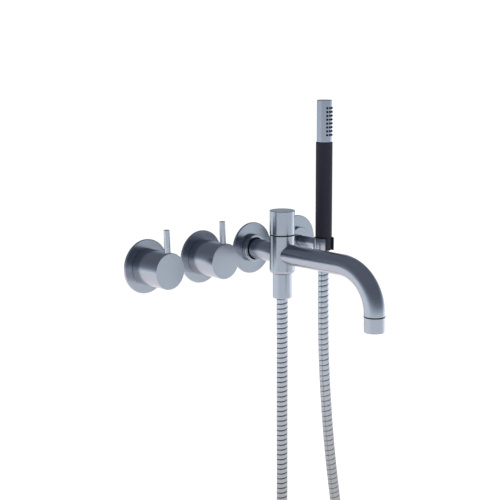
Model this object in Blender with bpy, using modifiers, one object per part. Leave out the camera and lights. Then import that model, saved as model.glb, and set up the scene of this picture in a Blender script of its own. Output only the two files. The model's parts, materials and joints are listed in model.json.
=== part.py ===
"""Wall mounted bath faucet: two quarter-turn valves, a spout with a diverter, and a hand shower on a hose.

Frame, in metres: the origin is on the finished wall, on the spout's axis. +X runs right along the row of
rosettes, -Y points out of the wall and +Z is up.

Pieces of a wall station are turned about the station's axis: their local +Z points out of the wall and
their local +Y points up. Pieces of the diverter and the hand shower are turned about an upright axis.
"""

import math

import bmesh
import bpy
import numpy as np
from mathutils import Matrix, Vector

GAP = 0.0003  # left between pieces that touch
EDGE = 0.0004  # chamfer on a visible edge
SLIT = 0.0001  # between two pieces that share a bore
THROUGH = 0.03  # reach of a guide that cuts right through a piece

# Sides of round pieces
FINE = 32  # rosettes, knobs and the holder's ring
ROUND = 24  # other outer pieces
INNER = 16  # inner pieces
SMALL = 12  # spindles, set screws and their holes
HOLE = 6  # nozzles and water holes

# The row of stations, measured along the wall
HOT_X = -0.1592
COLD_X = -0.0790
SPOUT_X = 0.0
HOLDER_X = 0.0743
IN_WALL = 0.016  # depth of the threaded ends behind the wall

# Rosettes
ROSETTE_RADIUS = 0.030
ROSETTE_THICK = 0.0022
ROSETTE_BORE = 0.0148
NECK_RADIUS = ROSETTE_BORE - 2 * GAP  # of whatever passes through a rosette
NECK_DEPTH = 0.004  # how far that neck reaches behind the wall

# Valve: outwards distances are from the wall
KNOB_RADIUS = 0.020
KNOB_FACE = 0.0424
KNOB_BACK = ROSETTE_THICK + GAP
KNOB_BORE = 0.0155
KNOB_WEB = 0.028  # back of the knob's solid front
SLEEVE_BORE = 0.0120
SLEEVE_FRONT = 0.024
HEADWORK_FRONT = 0.020
HEADWORK_NECK = 0.0070
HEADWORK_FLANGE = 0.0108
FLANGE_FRONT = 0.006
FLANGE_BACK = 0.001
HEADWORK_THREAD = 0.0102
HEADWORK_CAVITY = 0.0078
CAVITY_FRONT = 0.002
SPINDLE_RADIUS = 0.0040
SPINDLE_BORE = SPINDLE_RADIUS + GAP
SPINDLE_TIP = 0.0357
DISC_RADIUS = HEADWORK_CAVITY - 0.0004
DISC_THICK = 0.003
DISC_BORE = 0.0014
PORT_RADIUS = 0.0018
PORT_OFFSET = 0.0042
PORT_SIDES = 8
SEAT_SEAL_BORE = 0.0050
SEAT_SEAL_PROUD = 0.0006  # stands out behind the threaded end
WINDOW_OUT = -0.005
WINDOW_WIDTH = 0.005
WINDOW_HEIGHT = 0.0024
CIRCLIP_THICK = 0.0008
CIRCLIP_RADIUS = 0.0060
CIRCLIP_MOUTH = 0.0028
GROOVE_RADIUS = 0.0034

# Lever: distances are from the knob's axis
LEVER_RADIUS = 0.0033
LEVER_TOP = 0.0448
LEVER_RAKE = math.radians(2.3)  # leans back towards the wall
LEVER_OUT = 0.0388  # where the lever's line meets the knob's axis
LEVER_SPIGOT_RADIUS = 0.0022
LEVER_SPIGOT_ROOT = 0.009

# Set screws
SCREW_RADIUS = 0.0019
SCREW_LENGTH = 0.006
SCREW_POINT = 0.0012
SOCKET_RADIUS = 0.0009
SOCKET_DEPTH = 0.002
KNOB_SCREW_OUT = 0.032
DIVERTER_SCREW_Z = 0.039
ARM_SCREW_OUT = 0.014
ARM_SCREW_RADIUS = 0.0016
ARM_SOCKET_RADIUS = 0.0008
ARM_SOCKET_DEPTH = 0.0005

# Collars in front of the spout's and the holder's rosettes
COLLAR_RADIUS = 0.0163
COLLAR_FACE = 0.0080
COLLAR_SEAL_OUTER = 0.0129
COLLAR_SEAL_DEPTH = 0.0034

# Spout and inlet pipe
PIPE_RADIUS = 0.0117
PIPE_BORE = 0.0102
INLET_BORE = 0.0082
INLET_THREAD = 0.0102
INLET_INTO_BODY = 0.007  # inner end of the inlet pipe, short of the diverter's axis
SPOUT_REACH = 0.1934
SPOUT_BEND = 0.0485
SPOUT_END = -0.0492
BEND_STEPS = 7
INTO_CLEARANCE = 0.005  # where the spout starts, inside the diverter's clearance
PIPE_SIDES = 20

# Diverter, upright through (SPOUT_X, -DIVERTER_OUT)
DIVERTER_OUT = 0.052
BODY_RADIUS = 0.0145
BODY_TOP = 0.0217
BODY_BOTTOM = -0.0224
BODY_ROUND = 0.003
CHAMBER_RADIUS = 0.0095
CARTRIDGE_SEAT = 0.0087
CARTRIDGE_RADIUS = 0.0107
CARTRIDGE_BORE = CARTRIDGE_RADIUS + GAP
CARTRIDGE_SKIRT = 0.0080
CARTRIDGE_END = -0.0137
PLUG_BORE = 0.0065
PLUG_TOP = 0.0127
PLUG_END = -0.010
PLUG_CAVITY = 0.0046
PLUG_CAVITY_TOP = 0.006
CHAMBER_END = CARTRIDGE_END - 0.001
DIVERTER_KNOB_TOP = 0.0501
DIVERTER_KNOB_BOTTOM = 0.0229
DIVERTER_KNOB_BORE = 0.012
DIVERTER_KNOB_WEB = 0.034
DIVERTER_SPINDLE_TIP = 0.044
GROOVE_RING_INNER = 0.0114
GROOVE_RING_OUTER = 0.0137
WINDOW_RADIUS = 0.0035

# Hose outlet under the diverter
NIPPLE_RADIUS = 0.0076
NIPPLE_BORE = 0.0055
NIPPLE_END = -0.034
NUT_RADIUS = 0.0109
NUT_END = -0.0517
NUT_CHAMFER = 0.0009
WASHER_THICK = 0.002
CHECK_VALVE_BORE = 0.0030
CHECK_VALVE_TOP = -0.0222

# Aerator
AERATOR_RADIUS = 0.0114
AERATOR_BORE = 0.0094
AERATOR_SEAL_RADIUS = 0.0119
AERATOR_SEAL_THICK = 0.0008
AERATOR_END = -0.0674
AERATOR_LIP = 0.0086
AERATOR_NECK_TOP = -0.0460
AERATOR_LIP_THICK = 0.001
INSERT_TOP = -0.054
INSERT_INSET = 0.0008  # above the housing's end
SPOUT_BORE_OVER = 0.01  # the bore's guide reaches this far past the end
AERATOR_HOLE = 0.0015
AERATOR_HOLE_RING = 0.0052

# Holder and hand shower, upright through (HOLDER_X, -HOLDER_OUT)
HOLDER_OUT = 0.0468
ARM_RADIUS = 0.00625
ARM_INTO_RING = 0.003  # before the ring's clearance is cut away
STUD_RADIUS = 0.0040
STUD_FRONT = 0.020
RING_RADIUS = 0.0123
RING_BORE = 0.0109
RING_TOP = 0.0085
RING_BOTTOM = -0.0063
RING_SLOT = 0.0146
LINER_SLOT = 0.0128
LINER_LIP = 0.0006
LINER_LIP_DEPTH = 0.0027
CONE_TOP = 0.0094
CONE_AT_RING_BOTTOM = 0.0090
CONE_TOP_Z = RING_TOP + GAP
NUT_THREAD = 0.0076
SHELF_TOP = -0.0017
SHELF_BORE = 0.0059
WASHER_TOP = 0.0037
WASHER_LOW = 0.0017
WASHER_BORE = 0.0048
CONNECTOR_BORE = 0.0045
CONNECTOR_END = 0.0040
RESTRICTOR_BORE = 0.0018
RESTRICTOR_TOP = 0.024
RESTRICTOR_LOW = 0.018
GRIP_RADIUS = 0.0098
GRIP_BORE = 0.0079
GRIP_TOP = 0.1222
GRIP_EDGE = 0.0002
HEAD_RADIUS = 0.0089
HEAD_TOP = 0.1712
HEAD_BORE = 0.0069
HEAD_NECK = 0.0076
HEAD_NECK_END = 0.1132
HEAD_ROOF = 0.003
CORE_RADIUS = 0.0066
CORE_BORE = 0.0054
CORE_BOTTOM = 0.0315
CORE_TOP = 0.1253
NOZZLE_ROWS = 8
NOZZLE_TOP = 0.1622
NOZZLE_PITCH = 0.00447
NOZZLE_ANGLES = (-25, 0, 25)
NOZZLE_RADIUS = 0.0009
NOZZLE_ROOT = 0.0060
NOZZLE_TIP = 0.0099
NOZZLE_HOLE = 0.00125
INSERT_RADIUS = 0.0066
INSERT_BORE = 0.0056

# Hose: from inside the lower nut, down, round its loop and up into the cone
HOSE_RADIUS = 0.0065
HOSE_SOCKET = 0.0069
HOSE_LOW_START = -0.046
HOSE_HIGH_END = RING_BOTTOM - GAP
HOSE_POINTS = 40
HOSE_RESOLUTION = 2
FERRULE_BORE = 0.0040
FERRULE_FLANGE = 0.0020
UPPER_FERRULE_TOP = 0.0014
UPPER_FERRULE_FLANGE = 0.0028
UPPER_FERRULE_NECK = 0.0056
HOSE_ROUTE = (
    (0.0000, -0.0520, HOSE_LOW_START),
    (0.0000, -0.0520, -0.0850),
    (0.0000, -0.0520, -0.1500),
    (0.0000, -0.0520, -0.2200),
    (0.0000, -0.0520, -0.3000),
    (-0.0014, -0.0515, -0.3800),
    (-0.0040, -0.0507, -0.4550),
    (-0.0073, -0.0495, -0.5200),
    (-0.0086, -0.0485, -0.5706),
    (0.0083, -0.0481, -0.6049),
    (0.0358, -0.0484, -0.6256),
    (0.0767, -0.0487, -0.6257),
    (0.1046, -0.0488, -0.6033),
    (0.1165, -0.0485, -0.5680),
    (0.1164, -0.0477, -0.5200),
    (0.1144, -0.0472, -0.4550),
    (0.1080, -0.0468, -0.3860),
    (0.0981, -0.0468, -0.3240),
    (0.0887, -0.0468, -0.2650),
    (0.0815, -0.0468, -0.2050),
    (0.0763, -0.0468, -0.1400),
    (0.0745, -0.0468, -0.0850),
    (0.0743, -0.0468, -0.0450),
    (0.0743, -0.0468, HOSE_HIGH_END),
)

# Looks: base colour, roughness, metallic
LOOKS = {
    "steel": ((0.56, 0.60, 0.65), 0.30, 1.0),
    "hose_steel": ((0.60, 0.64, 0.68), 0.24, 1.0),
    "brass": ((0.72, 0.56, 0.30), 0.32, 1.0),
    "ceramic": ((0.88, 0.87, 0.83), 0.25, 0.0),
    "rubber": ((0.02, 0.02, 0.025), 0.60, 0.0),
    "black_plastic": ((0.03, 0.028, 0.040), 0.45, 0.0),
    "white_plastic": ((0.80, 0.80, 0.78), 0.40, 0.0),
}


def clear_scene():
    for thing in list(bpy.data.objects):
        bpy.data.objects.remove(thing, do_unlink=True)


def new_collection(name):
    collection = bpy.data.collections.new(name)
    bpy.context.scene.collection.children.link(collection)
    return collection


def look(name):
    """The Principled material of that name, made at its first use."""
    if name in bpy.data.materials:
        return bpy.data.materials[name]
    color, roughness, metallic = LOOKS[name]
    made = bpy.data.materials.new(name)
    made.use_nodes = True
    shader = made.node_tree.nodes["Principled BSDF"]
    shader.inputs["Base Color"].default_value = (*color, 1.0)
    shader.inputs["Roughness"].default_value = roughness
    shader.inputs["Metallic"].default_value = metallic
    return made


clear_scene()
FAUCET = new_collection("wall_mounted_bath_faucet")
CUTTERS = new_collection("cutters")


def axis_empty(name, location, out_of_wall):
    """An empty on a joint's or a station's axis. out_of_wall turns its +Z to point away from the wall."""
    empty = bpy.data.objects.new(name, None)
    empty.location = location
    if out_of_wall:
        empty.rotation_euler = (math.radians(90), 0, 0)
    FAUCET.objects.link(empty)
    return empty


def add_piece(name, data, look_name, parent):
    piece = bpy.data.objects.new(name, data)
    data.materials.append(look(look_name))
    piece.parent = parent
    FAUCET.objects.link(piece)
    return piece


def turned(name, outline, look_name, parent, segments=ROUND, closed=True):
    """A lathe-turned piece about its local Z. outline lists (radius, height) down the outer side, and then
    up the bore if it is closed. An open outline starts and ends on the axis."""
    mesh = bpy.data.meshes.new(name)
    points = [(radius, 0.0, height) for radius, height in outline]
    edges = [(i, i + 1) for i in range(len(points) - 1)]
    if closed:
        edges.append((len(points) - 1, 0))
    mesh.from_pydata(points, edges, [])
    piece = add_piece(name, mesh, look_name, parent)
    screw = piece.modifiers.new("turn", "SCREW")
    screw.axis = "Z"
    screw.steps = segments
    screw.render_steps = segments
    screw.use_merge_vertices = True
    screw.merge_threshold = 1e-6
    screw.use_smooth_shade = True
    return piece


def ring_outline(outer, inner, high, low, edge=0.0):
    """A plain ring's outline, with its two outer edges chamfered by edge."""
    side = [(outer, high), (outer, low)]
    if edge:
        side = [(outer - edge, high), (outer, high - edge), (outer, low + edge), (outer - edge, low)]
    return [*side, (inner, low), (inner, high)]


def as_cutter(thing, parent):
    """Makes a hidden guide of an object that only shapes others."""
    thing.parent = parent
    thing.hide_render = True
    thing.display_type = "WIRE"
    CUTTERS.objects.link(thing)
    return thing


def add_rod(bm, radius, start, end, segments):
    """Adds a closed cylinder from start to end."""
    start, end = Vector(start), Vector(end)
    turn = (end - start).to_track_quat("Z", "Y").to_matrix().to_4x4()
    bmesh.ops.create_cone(
        bm,
        cap_ends=True,
        segments=segments,
        radius1=radius,
        radius2=radius,
        depth=(end - start).length,
        matrix=Matrix.Translation((start + end) / 2) @ turn,
    )


def rods(name, ends, radius, parent, segments=SMALL):
    """One guide of several cylinders, each from a start to an end."""
    bm = bmesh.new()
    for start, end in ends:
        add_rod(bm, radius, start, end, segments)
    mesh = bpy.data.meshes.new(name)
    bm.to_mesh(mesh)
    bm.free()
    return as_cutter(bpy.data.objects.new(name, mesh), parent)


def block(name, low, high, parent):
    """A box guide between two corners."""
    low, high = Vector(low), Vector(high)
    bm = bmesh.new()
    place = Matrix.Translation((low + high) / 2) @ Matrix.Diagonal((*(high - low), 1.0))
    bmesh.ops.create_cube(bm, size=1.0, matrix=place)
    mesh = bpy.data.meshes.new(name)
    bm.to_mesh(mesh)
    bm.free()
    return as_cutter(bpy.data.objects.new(name, mesh), parent)


def shape(piece, guide, operation="DIFFERENCE"):
    boolean = piece.modifiers.new(guide.name, "BOOLEAN")
    boolean.operation = operation
    boolean.solver = "EXACT"
    boolean.object = guide
    return piece


def tube_curve(name, points, radius, resolution):
    """A round bar along straight runs between points, with closed ends."""
    curve = bpy.data.curves.new(name, "CURVE")
    curve.dimensions = "3D"
    curve.fill_mode = "FULL"
    curve.bevel_depth = radius
    curve.bevel_resolution = resolution
    curve.use_fill_caps = True
    spline = curve.splines.new("POLY")
    spline.points.add(len(points) - 1)
    for place, point in zip(spline.points, points):
        place.co = (*point, 1.0)
    spline.use_smooth = True
    return curve


def curve_as_mesh(curve):
    """The curve's closed mesh, with its caps welded on."""
    holder = bpy.data.objects.new(curve.name, curve)
    bpy.context.scene.collection.objects.link(holder)
    bpy.context.view_layer.update()
    evaluated = holder.evaluated_get(bpy.context.evaluated_depsgraph_get())
    mesh = bpy.data.meshes.new_from_object(evaluated)
    bpy.data.objects.remove(holder, do_unlink=True)
    bm = bmesh.new()
    bm.from_mesh(mesh)
    bmesh.ops.remove_doubles(bm, verts=bm.verts, dist=1e-6)
    bmesh.ops.recalc_face_normals(bm, faces=bm.faces)
    bm.to_mesh(mesh)
    bm.free()
    mesh.materials.clear()
    return mesh


def smooth_route(route, count):
    """count points at even spacing along the natural cubic spline through the route's points."""
    knots = np.array(route)
    runs = np.linalg.norm(np.diff(knots, axis=0), axis=1)
    marks = np.concatenate([[0.0], np.cumsum(runs)])
    last = len(knots) - 1
    system = np.eye(last + 1)
    target = np.zeros((last + 1, 3))
    for i in range(1, last):
        before, after = runs[i - 1], runs[i]
        system[i, i - 1 : i + 2] = before, 2 * (before + after), after
        slope_change = (knots[i + 1] - knots[i]) / after - (knots[i] - knots[i - 1]) / before
        target[i] = 6 * slope_change
    bends = np.linalg.solve(system, target)

    def at(mark):
        i = np.clip(np.searchsorted(marks, mark, side="right") - 1, 0, last - 1)
        along = (mark - marks[i])[:, None]
        run = runs[i][:, None]
        slope = (knots[i + 1] - knots[i]) / run - run * (2 * bends[i] + bends[i + 1]) / 6
        cubic = (bends[i + 1] - bends[i]) * along**3 / (6 * run)
        return knots[i] + slope * along + bends[i] * along**2 / 2 + cubic

    fine = np.linspace(0, marks[-1], 100 * last)
    steps = np.linalg.norm(np.diff(at(fine), axis=0), axis=1)
    length = np.concatenate([[0.0], np.cumsum(steps)])
    return at(np.interp(np.linspace(0, length[-1], count), length, fine))


def grub_screw(name, parent, out, toward, inner_end):
    """A set screw at height out on the parent's axis, pointing from the axis along toward, with a socket in
    its outer end. inner_end is its point's distance from the axis."""
    top = inner_end + SCREW_LENGTH
    outline = [
        (0, top - SOCKET_DEPTH),
        (SOCKET_RADIUS, top - SOCKET_DEPTH),
        (SOCKET_RADIUS, top),
        (SCREW_RADIUS, top),
        (SCREW_RADIUS, inner_end + SCREW_POINT / 2),
        (SCREW_POINT, inner_end),
        (0, inner_end),
    ]
    screw = turned(name, outline, "steel", parent, segments=SMALL, closed=False)
    screw.location = (0, 0, out)
    screw.rotation_euler = Vector(toward).to_track_quat("Z", "Y").to_euler()
    return screw


def rosette(name, station):
    outline = ring_outline(ROSETTE_RADIUS, ROSETTE_BORE, ROSETTE_THICK, 0.0)
    outline[:1] = [(ROSETTE_RADIUS - EDGE, ROSETTE_THICK), (ROSETTE_RADIUS, ROSETTE_THICK - EDGE)]
    return turned(name, outline, "steel", station, segments=FINE)


def build_headwork(side, station):
    """The brass body, its seal and the still disc behind it."""
    sleeve = ring_outline(NECK_RADIUS, SLEEVE_BORE, SLEEVE_FRONT, -NECK_DEPTH)
    turned(f"{side}_guide_sleeve", sleeve, "brass", station, segments=INNER)
    outline = [
        (HEADWORK_NECK, HEADWORK_FRONT),
        (HEADWORK_NECK, FLANGE_FRONT),
        (HEADWORK_FLANGE, FLANGE_FRONT),
        (HEADWORK_FLANGE, FLANGE_BACK),
        (HEADWORK_THREAD, FLANGE_BACK),
        (HEADWORK_THREAD, -IN_WALL),
        (HEADWORK_CAVITY, -IN_WALL),
        (HEADWORK_CAVITY, CAVITY_FRONT),
        (SPINDLE_BORE, CAVITY_FRONT),
        (SPINDLE_BORE, HEADWORK_FRONT),
    ]
    headwork = turned(f"{side}_headwork", outline, "brass", station, segments=INNER)
    window = block(
        f"{side}_window",
        (-THROUGH, -WINDOW_WIDTH / 2, WINDOW_OUT - WINDOW_HEIGHT / 2),
        (THROUGH, WINDOW_WIDTH / 2, WINDOW_OUT + WINDOW_HEIGHT / 2),
        station,
    )
    shape(headwork, window)

    flange_back = CAVITY_FRONT - 2 * GAP - DISC_THICK
    disc_top = flange_back - DISC_THICK - 2 * GAP
    disc = ring_outline(DISC_RADIUS, DISC_BORE, disc_top, disc_top - DISC_THICK)
    fixed = turned(f"{side}_fixed_disc", disc, "ceramic", station, segments=INNER)
    ports = [((x, 0, -THROUGH), (x, 0, THROUGH)) for x in (-PORT_OFFSET, PORT_OFFSET)]
    shape(fixed, rods(f"{side}_fixed_ports", ports, PORT_RADIUS, station, segments=PORT_SIDES))
    seal_top = disc_top - DISC_THICK - GAP
    seal = ring_outline(DISC_RADIUS, SEAT_SEAL_BORE, seal_top, -IN_WALL - SEAT_SEAL_PROUD)
    turned(f"{side}_seat_seal", seal, "rubber", station, segments=INNER)
    return flange_back


def build_handle(side, station, flange_back):
    """What turns: spindle, circlip, disc, knob, lever and set screw."""
    groove_high = HEADWORK_FRONT + CIRCLIP_THICK + 3 * GAP
    groove_low = HEADWORK_FRONT + GAP
    spindle = [
        (0, SPINDLE_TIP),
        (SPINDLE_RADIUS, SPINDLE_TIP),
        (SPINDLE_RADIUS, groove_high),
        (GROOVE_RADIUS, groove_high),
        (GROOVE_RADIUS, groove_low),
        (SPINDLE_RADIUS, groove_low),
        (SPINDLE_RADIUS, CAVITY_FRONT - GAP),
        (DISC_RADIUS, CAVITY_FRONT - GAP),
        (DISC_RADIUS, flange_back),
        (0, flange_back),
    ]
    turned(f"{side}_spindle", spindle, "brass", station, segments=SMALL, closed=False)

    clip_low = groove_low + GAP
    clip = ring_outline(CIRCLIP_RADIUS, GROOVE_RADIUS + GAP, clip_low + CIRCLIP_THICK, clip_low)
    circlip = turned(f"{side}_circlip", clip, "steel", station, segments=SMALL)
    half = CIRCLIP_MOUTH / 2
    mouth = block(f"{side}_clip_mouth", (-half, -THROUGH, 0), (half, 0, THROUGH), station)
    shape(circlip, mouth)

    disc_top = flange_back - GAP
    disc = ring_outline(DISC_RADIUS, DISC_BORE, disc_top, disc_top - DISC_THICK)
    moving = turned(f"{side}_moving_disc", disc, "ceramic", station, segments=INNER)
    ports = [((0, y, -THROUGH), (0, y, THROUGH)) for y in (-PORT_OFFSET, PORT_OFFSET)]
    shape(moving, rods(f"{side}_moving_ports", ports, PORT_RADIUS, station, segments=PORT_SIDES))

    drum = [
        (0, KNOB_FACE),
        (KNOB_RADIUS - EDGE, KNOB_FACE),
        (KNOB_RADIUS, KNOB_FACE - EDGE),
        (KNOB_RADIUS, KNOB_BACK),
        (KNOB_BORE, KNOB_BACK),
        (KNOB_BORE, KNOB_WEB),
        (SPINDLE_BORE, KNOB_WEB),
        (SPINDLE_BORE, SPINDLE_TIP + GAP),
        (0, SPINDLE_TIP + GAP),
    ]
    knob = turned(f"{side}_knob", drum, "steel", station, segments=FINE, closed=False)

    lean = Vector((0, math.cos(LEVER_RAKE), -math.sin(LEVER_RAKE)))
    root = Vector((0, 0, LEVER_OUT))
    spigot_hole = [(root + lean * (LEVER_SPIGOT_ROOT - GAP), root + lean * THROUGH)]
    shape(knob, rods(f"{side}_lever_hole", spigot_hole, LEVER_SPIGOT_RADIUS + GAP, station))
    screw_hole = [((0, 0, KNOB_SCREW_OUT), (0, -THROUGH, KNOB_SCREW_OUT))]
    shape(knob, rods(f"{side}_screw_hole", screw_hole, SCREW_RADIUS + GAP, station))

    shoulder = KNOB_RADIUS + GAP
    pin = [
        (0, LEVER_TOP),
        (LEVER_RADIUS - EDGE, LEVER_TOP),
        (LEVER_RADIUS, LEVER_TOP - EDGE),
        (LEVER_RADIUS, shoulder),
        (LEVER_SPIGOT_RADIUS, shoulder),
        (LEVER_SPIGOT_RADIUS, LEVER_SPIGOT_ROOT),
        (0, LEVER_SPIGOT_ROOT),
    ]
    lever = turned(f"{side}_lever", pin, "steel", station, segments=INNER, closed=False)
    lever.location = root
    lever.rotation_euler = (-(math.pi / 2 + LEVER_RAKE), 0, 0)
    grub_screw(f"{side}_grub_screw", station, KNOB_SCREW_OUT, (0, -1, 0), SPINDLE_BORE + GAP)


def build_valve(side, x):
    station = axis_empty(f"{side}_axis", (x, 0, 0), out_of_wall=True)
    rosette(f"{side}_rosette", station)
    flange_back = build_headwork(side, station)
    build_handle(side, station, flange_back)


def build_spout_station():
    """Rosette, collar and the pipe that carries the diverter."""
    station = axis_empty("spout_axis", (SPOUT_X, 0, 0), out_of_wall=True)
    rosette("spout_rosette", station)
    seal_floor = COLLAR_FACE - COLLAR_SEAL_DEPTH - 2 * GAP
    collar = [
        (COLLAR_RADIUS - EDGE, COLLAR_FACE),
        (COLLAR_RADIUS, COLLAR_FACE - EDGE),
        (COLLAR_RADIUS, ROSETTE_THICK + GAP),
        (NECK_RADIUS, ROSETTE_THICK + GAP),
        (NECK_RADIUS, -NECK_DEPTH),
        (PIPE_RADIUS + GAP, -NECK_DEPTH),
        (PIPE_RADIUS + GAP, seal_floor),
        (COLLAR_SEAL_OUTER + GAP, seal_floor),
        (COLLAR_SEAL_OUTER + GAP, COLLAR_FACE),
    ]
    turned("spout_collar", collar, "steel", station)
    seal = ring_outline(COLLAR_SEAL_OUTER, PIPE_RADIUS + GAP, COLLAR_FACE - GAP, seal_floor + GAP)
    turned("collar_seal", seal, "rubber", station)

    pipe = [
        (PIPE_RADIUS, DIVERTER_OUT - INLET_INTO_BODY),
        (PIPE_RADIUS, -NECK_DEPTH),
        (INLET_THREAD, -NECK_DEPTH),
        (INLET_THREAD, -IN_WALL),
        (INLET_BORE, -IN_WALL),
        (INLET_BORE, DIVERTER_OUT - INLET_INTO_BODY),
    ]
    inlet = turned("inlet_pipe", pipe, "steel", station, segments=PIPE_SIDES)
    shape(inlet, bpy.data.objects["body_clearance"])


def build_diverter():
    """The upright body, its cartridge and what turns in it."""
    axis = axis_empty("diverter_axis", (SPOUT_X, -DIVERTER_OUT, 0), out_of_wall=False)
    corner = [
        (
            BODY_RADIUS - BODY_ROUND * (1 - math.cos(math.radians(angle))),
            BODY_BOTTOM + BODY_ROUND * (1 - math.sin(math.radians(angle))),
        )
        for angle in (0, 30, 60, 90)
    ]
    body_outline = [
        (BODY_RADIUS - EDGE, BODY_TOP),
        (BODY_RADIUS, BODY_TOP - EDGE),
        *corner,
        (NIPPLE_RADIUS, BODY_BOTTOM),
        (NIPPLE_RADIUS, NIPPLE_END),
        (NIPPLE_BORE, NIPPLE_END),
        (NIPPLE_BORE, CHAMBER_END),
        (CHAMBER_RADIUS, CHAMBER_END),
        (CHAMBER_RADIUS, CARTRIDGE_SEAT),
        (CARTRIDGE_BORE, CARTRIDGE_SEAT),
        (CARTRIDGE_BORE, BODY_TOP),
    ]
    body = turned("diverter_body", body_outline, "steel", axis)
    port = [((0, -THROUGH, 0), (0, THROUGH, 0))]
    shape(body, rods("body_ports", port, INLET_BORE, axis, segments=INNER))
    upright = [((0, 0, -THROUGH), (0, 0, THROUGH))]
    rods("body_clearance", upright, BODY_RADIUS + GAP, axis, segments=ROUND)

    ring = ring_outline(GROOVE_RING_OUTER, GROOVE_RING_INNER, DIVERTER_KNOB_BOTTOM - GAP, BODY_TOP + GAP)
    turned("groove_ring", ring, "rubber", axis)
    cartridge_outline = [
        (CARTRIDGE_RADIUS, BODY_TOP - GAP),
        (CARTRIDGE_RADIUS, CARTRIDGE_SEAT + GAP),
        (CARTRIDGE_SKIRT, CARTRIDGE_SEAT + GAP),
        (CARTRIDGE_SKIRT, CARTRIDGE_END),
        (PLUG_BORE, CARTRIDGE_END),
        (PLUG_BORE, PLUG_TOP + GAP),
        (SPINDLE_BORE, PLUG_TOP + GAP),
        (SPINDLE_BORE, BODY_TOP - GAP),
    ]
    cartridge = turned("diverter_cartridge", cartridge_outline, "brass", axis, segments=INNER)
    shape(cartridge, rods("cartridge_windows", port, WINDOW_RADIUS, axis))

    plug_outline = [
        (0, DIVERTER_SPINDLE_TIP),
        (SPINDLE_RADIUS, DIVERTER_SPINDLE_TIP),
        (SPINDLE_RADIUS, PLUG_TOP),
        (PLUG_BORE - GAP, PLUG_TOP),
        (PLUG_BORE - GAP, PLUG_END),
        (PLUG_CAVITY, PLUG_END),
        (PLUG_CAVITY, PLUG_CAVITY_TOP),
        (0, PLUG_CAVITY_TOP),
    ]
    plug = turned("diverter_spindle", plug_outline, "brass", axis, segments=INNER, closed=False)
    shape(plug, rods("plug_windows", port, WINDOW_RADIUS, axis))

    cap_outline = [
        (0, DIVERTER_KNOB_TOP),
        (BODY_RADIUS - EDGE, DIVERTER_KNOB_TOP),
        (BODY_RADIUS, DIVERTER_KNOB_TOP - EDGE),
        (BODY_RADIUS, DIVERTER_KNOB_BOTTOM + EDGE),
        (BODY_RADIUS - EDGE, DIVERTER_KNOB_BOTTOM),
        (DIVERTER_KNOB_BORE, DIVERTER_KNOB_BOTTOM),
        (DIVERTER_KNOB_BORE, DIVERTER_KNOB_WEB),
        (SPINDLE_BORE, DIVERTER_KNOB_WEB),
        (SPINDLE_BORE, DIVERTER_SPINDLE_TIP + GAP),
        (0, DIVERTER_SPINDLE_TIP + GAP),
    ]
    cap = turned("diverter_knob", cap_outline, "steel", axis, closed=False)
    screw_hole = [((0, 0, DIVERTER_SCREW_Z), (0, THROUGH, DIVERTER_SCREW_Z))]
    shape(cap, rods("diverter_screw_hole", screw_hole, SCREW_RADIUS + GAP, axis))
    grub_screw("diverter_grub_screw", axis, DIVERTER_SCREW_Z, (0, 1, 0), SPINDLE_BORE + GAP)
    return axis


def build_hose_outlet(axis):
    """Check valve, and the lower nut with the washer and ferrule that it clamps."""
    valve = ring_outline(NIPPLE_BORE - GAP, CHECK_VALVE_BORE, CHECK_VALVE_TOP, NIPPLE_END + GAP)
    turned("check_valve", valve, "white_plastic", axis, segments=INNER)
    washer_top = NIPPLE_END - GAP
    washer = ring_outline(NIPPLE_RADIUS - GAP, NIPPLE_BORE, washer_top, washer_top - WASHER_THICK)
    turned("lower_hose_washer", washer, "rubber", axis, segments=INNER)
    ferrule_top = washer_top - WASHER_THICK - GAP
    flange_bottom = ferrule_top - FERRULE_FLANGE
    ferrule = [
        (NIPPLE_RADIUS - GAP, ferrule_top),
        (NIPPLE_RADIUS - GAP, flange_bottom),
        (HOSE_RADIUS - SLIT, flange_bottom),
        (HOSE_RADIUS - SLIT, HOSE_LOW_START + GAP),
        (FERRULE_BORE, HOSE_LOW_START + GAP),
        (FERRULE_BORE, ferrule_top),
    ]
    turned("lower_hose_ferrule", ferrule, "brass", axis, segments=INNER)
    nut = [
        (NUT_RADIUS, BODY_BOTTOM - GAP),
        (NUT_RADIUS, NUT_END + NUT_CHAMFER),
        (NUT_RADIUS - NUT_CHAMFER, NUT_END),
        (HOSE_SOCKET, NUT_END),
        (HOSE_SOCKET, flange_bottom - GAP),
        (NIPPLE_RADIUS + GAP, flange_bottom - GAP),
        (NIPPLE_RADIUS + GAP, BODY_BOTTOM - GAP),
    ]
    turned("lower_hose_nut", nut, "steel", axis)


def spout_path():
    """The spout's centre line, from inside the diverter's clearance round the bend to its end."""
    bend_start = SPOUT_REACH - SPOUT_BEND
    points = [(SPOUT_X, -DIVERTER_OUT - INTO_CLEARANCE, 0)]
    for step in range(BEND_STEPS + 1):
        angle = math.radians(90) * step / BEND_STEPS
        out = bend_start + SPOUT_BEND * math.sin(angle)
        points.append((SPOUT_X, -out, -SPOUT_BEND * (1 - math.cos(angle))))
    points.append((SPOUT_X, -SPOUT_REACH, SPOUT_END))
    return points


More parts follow.
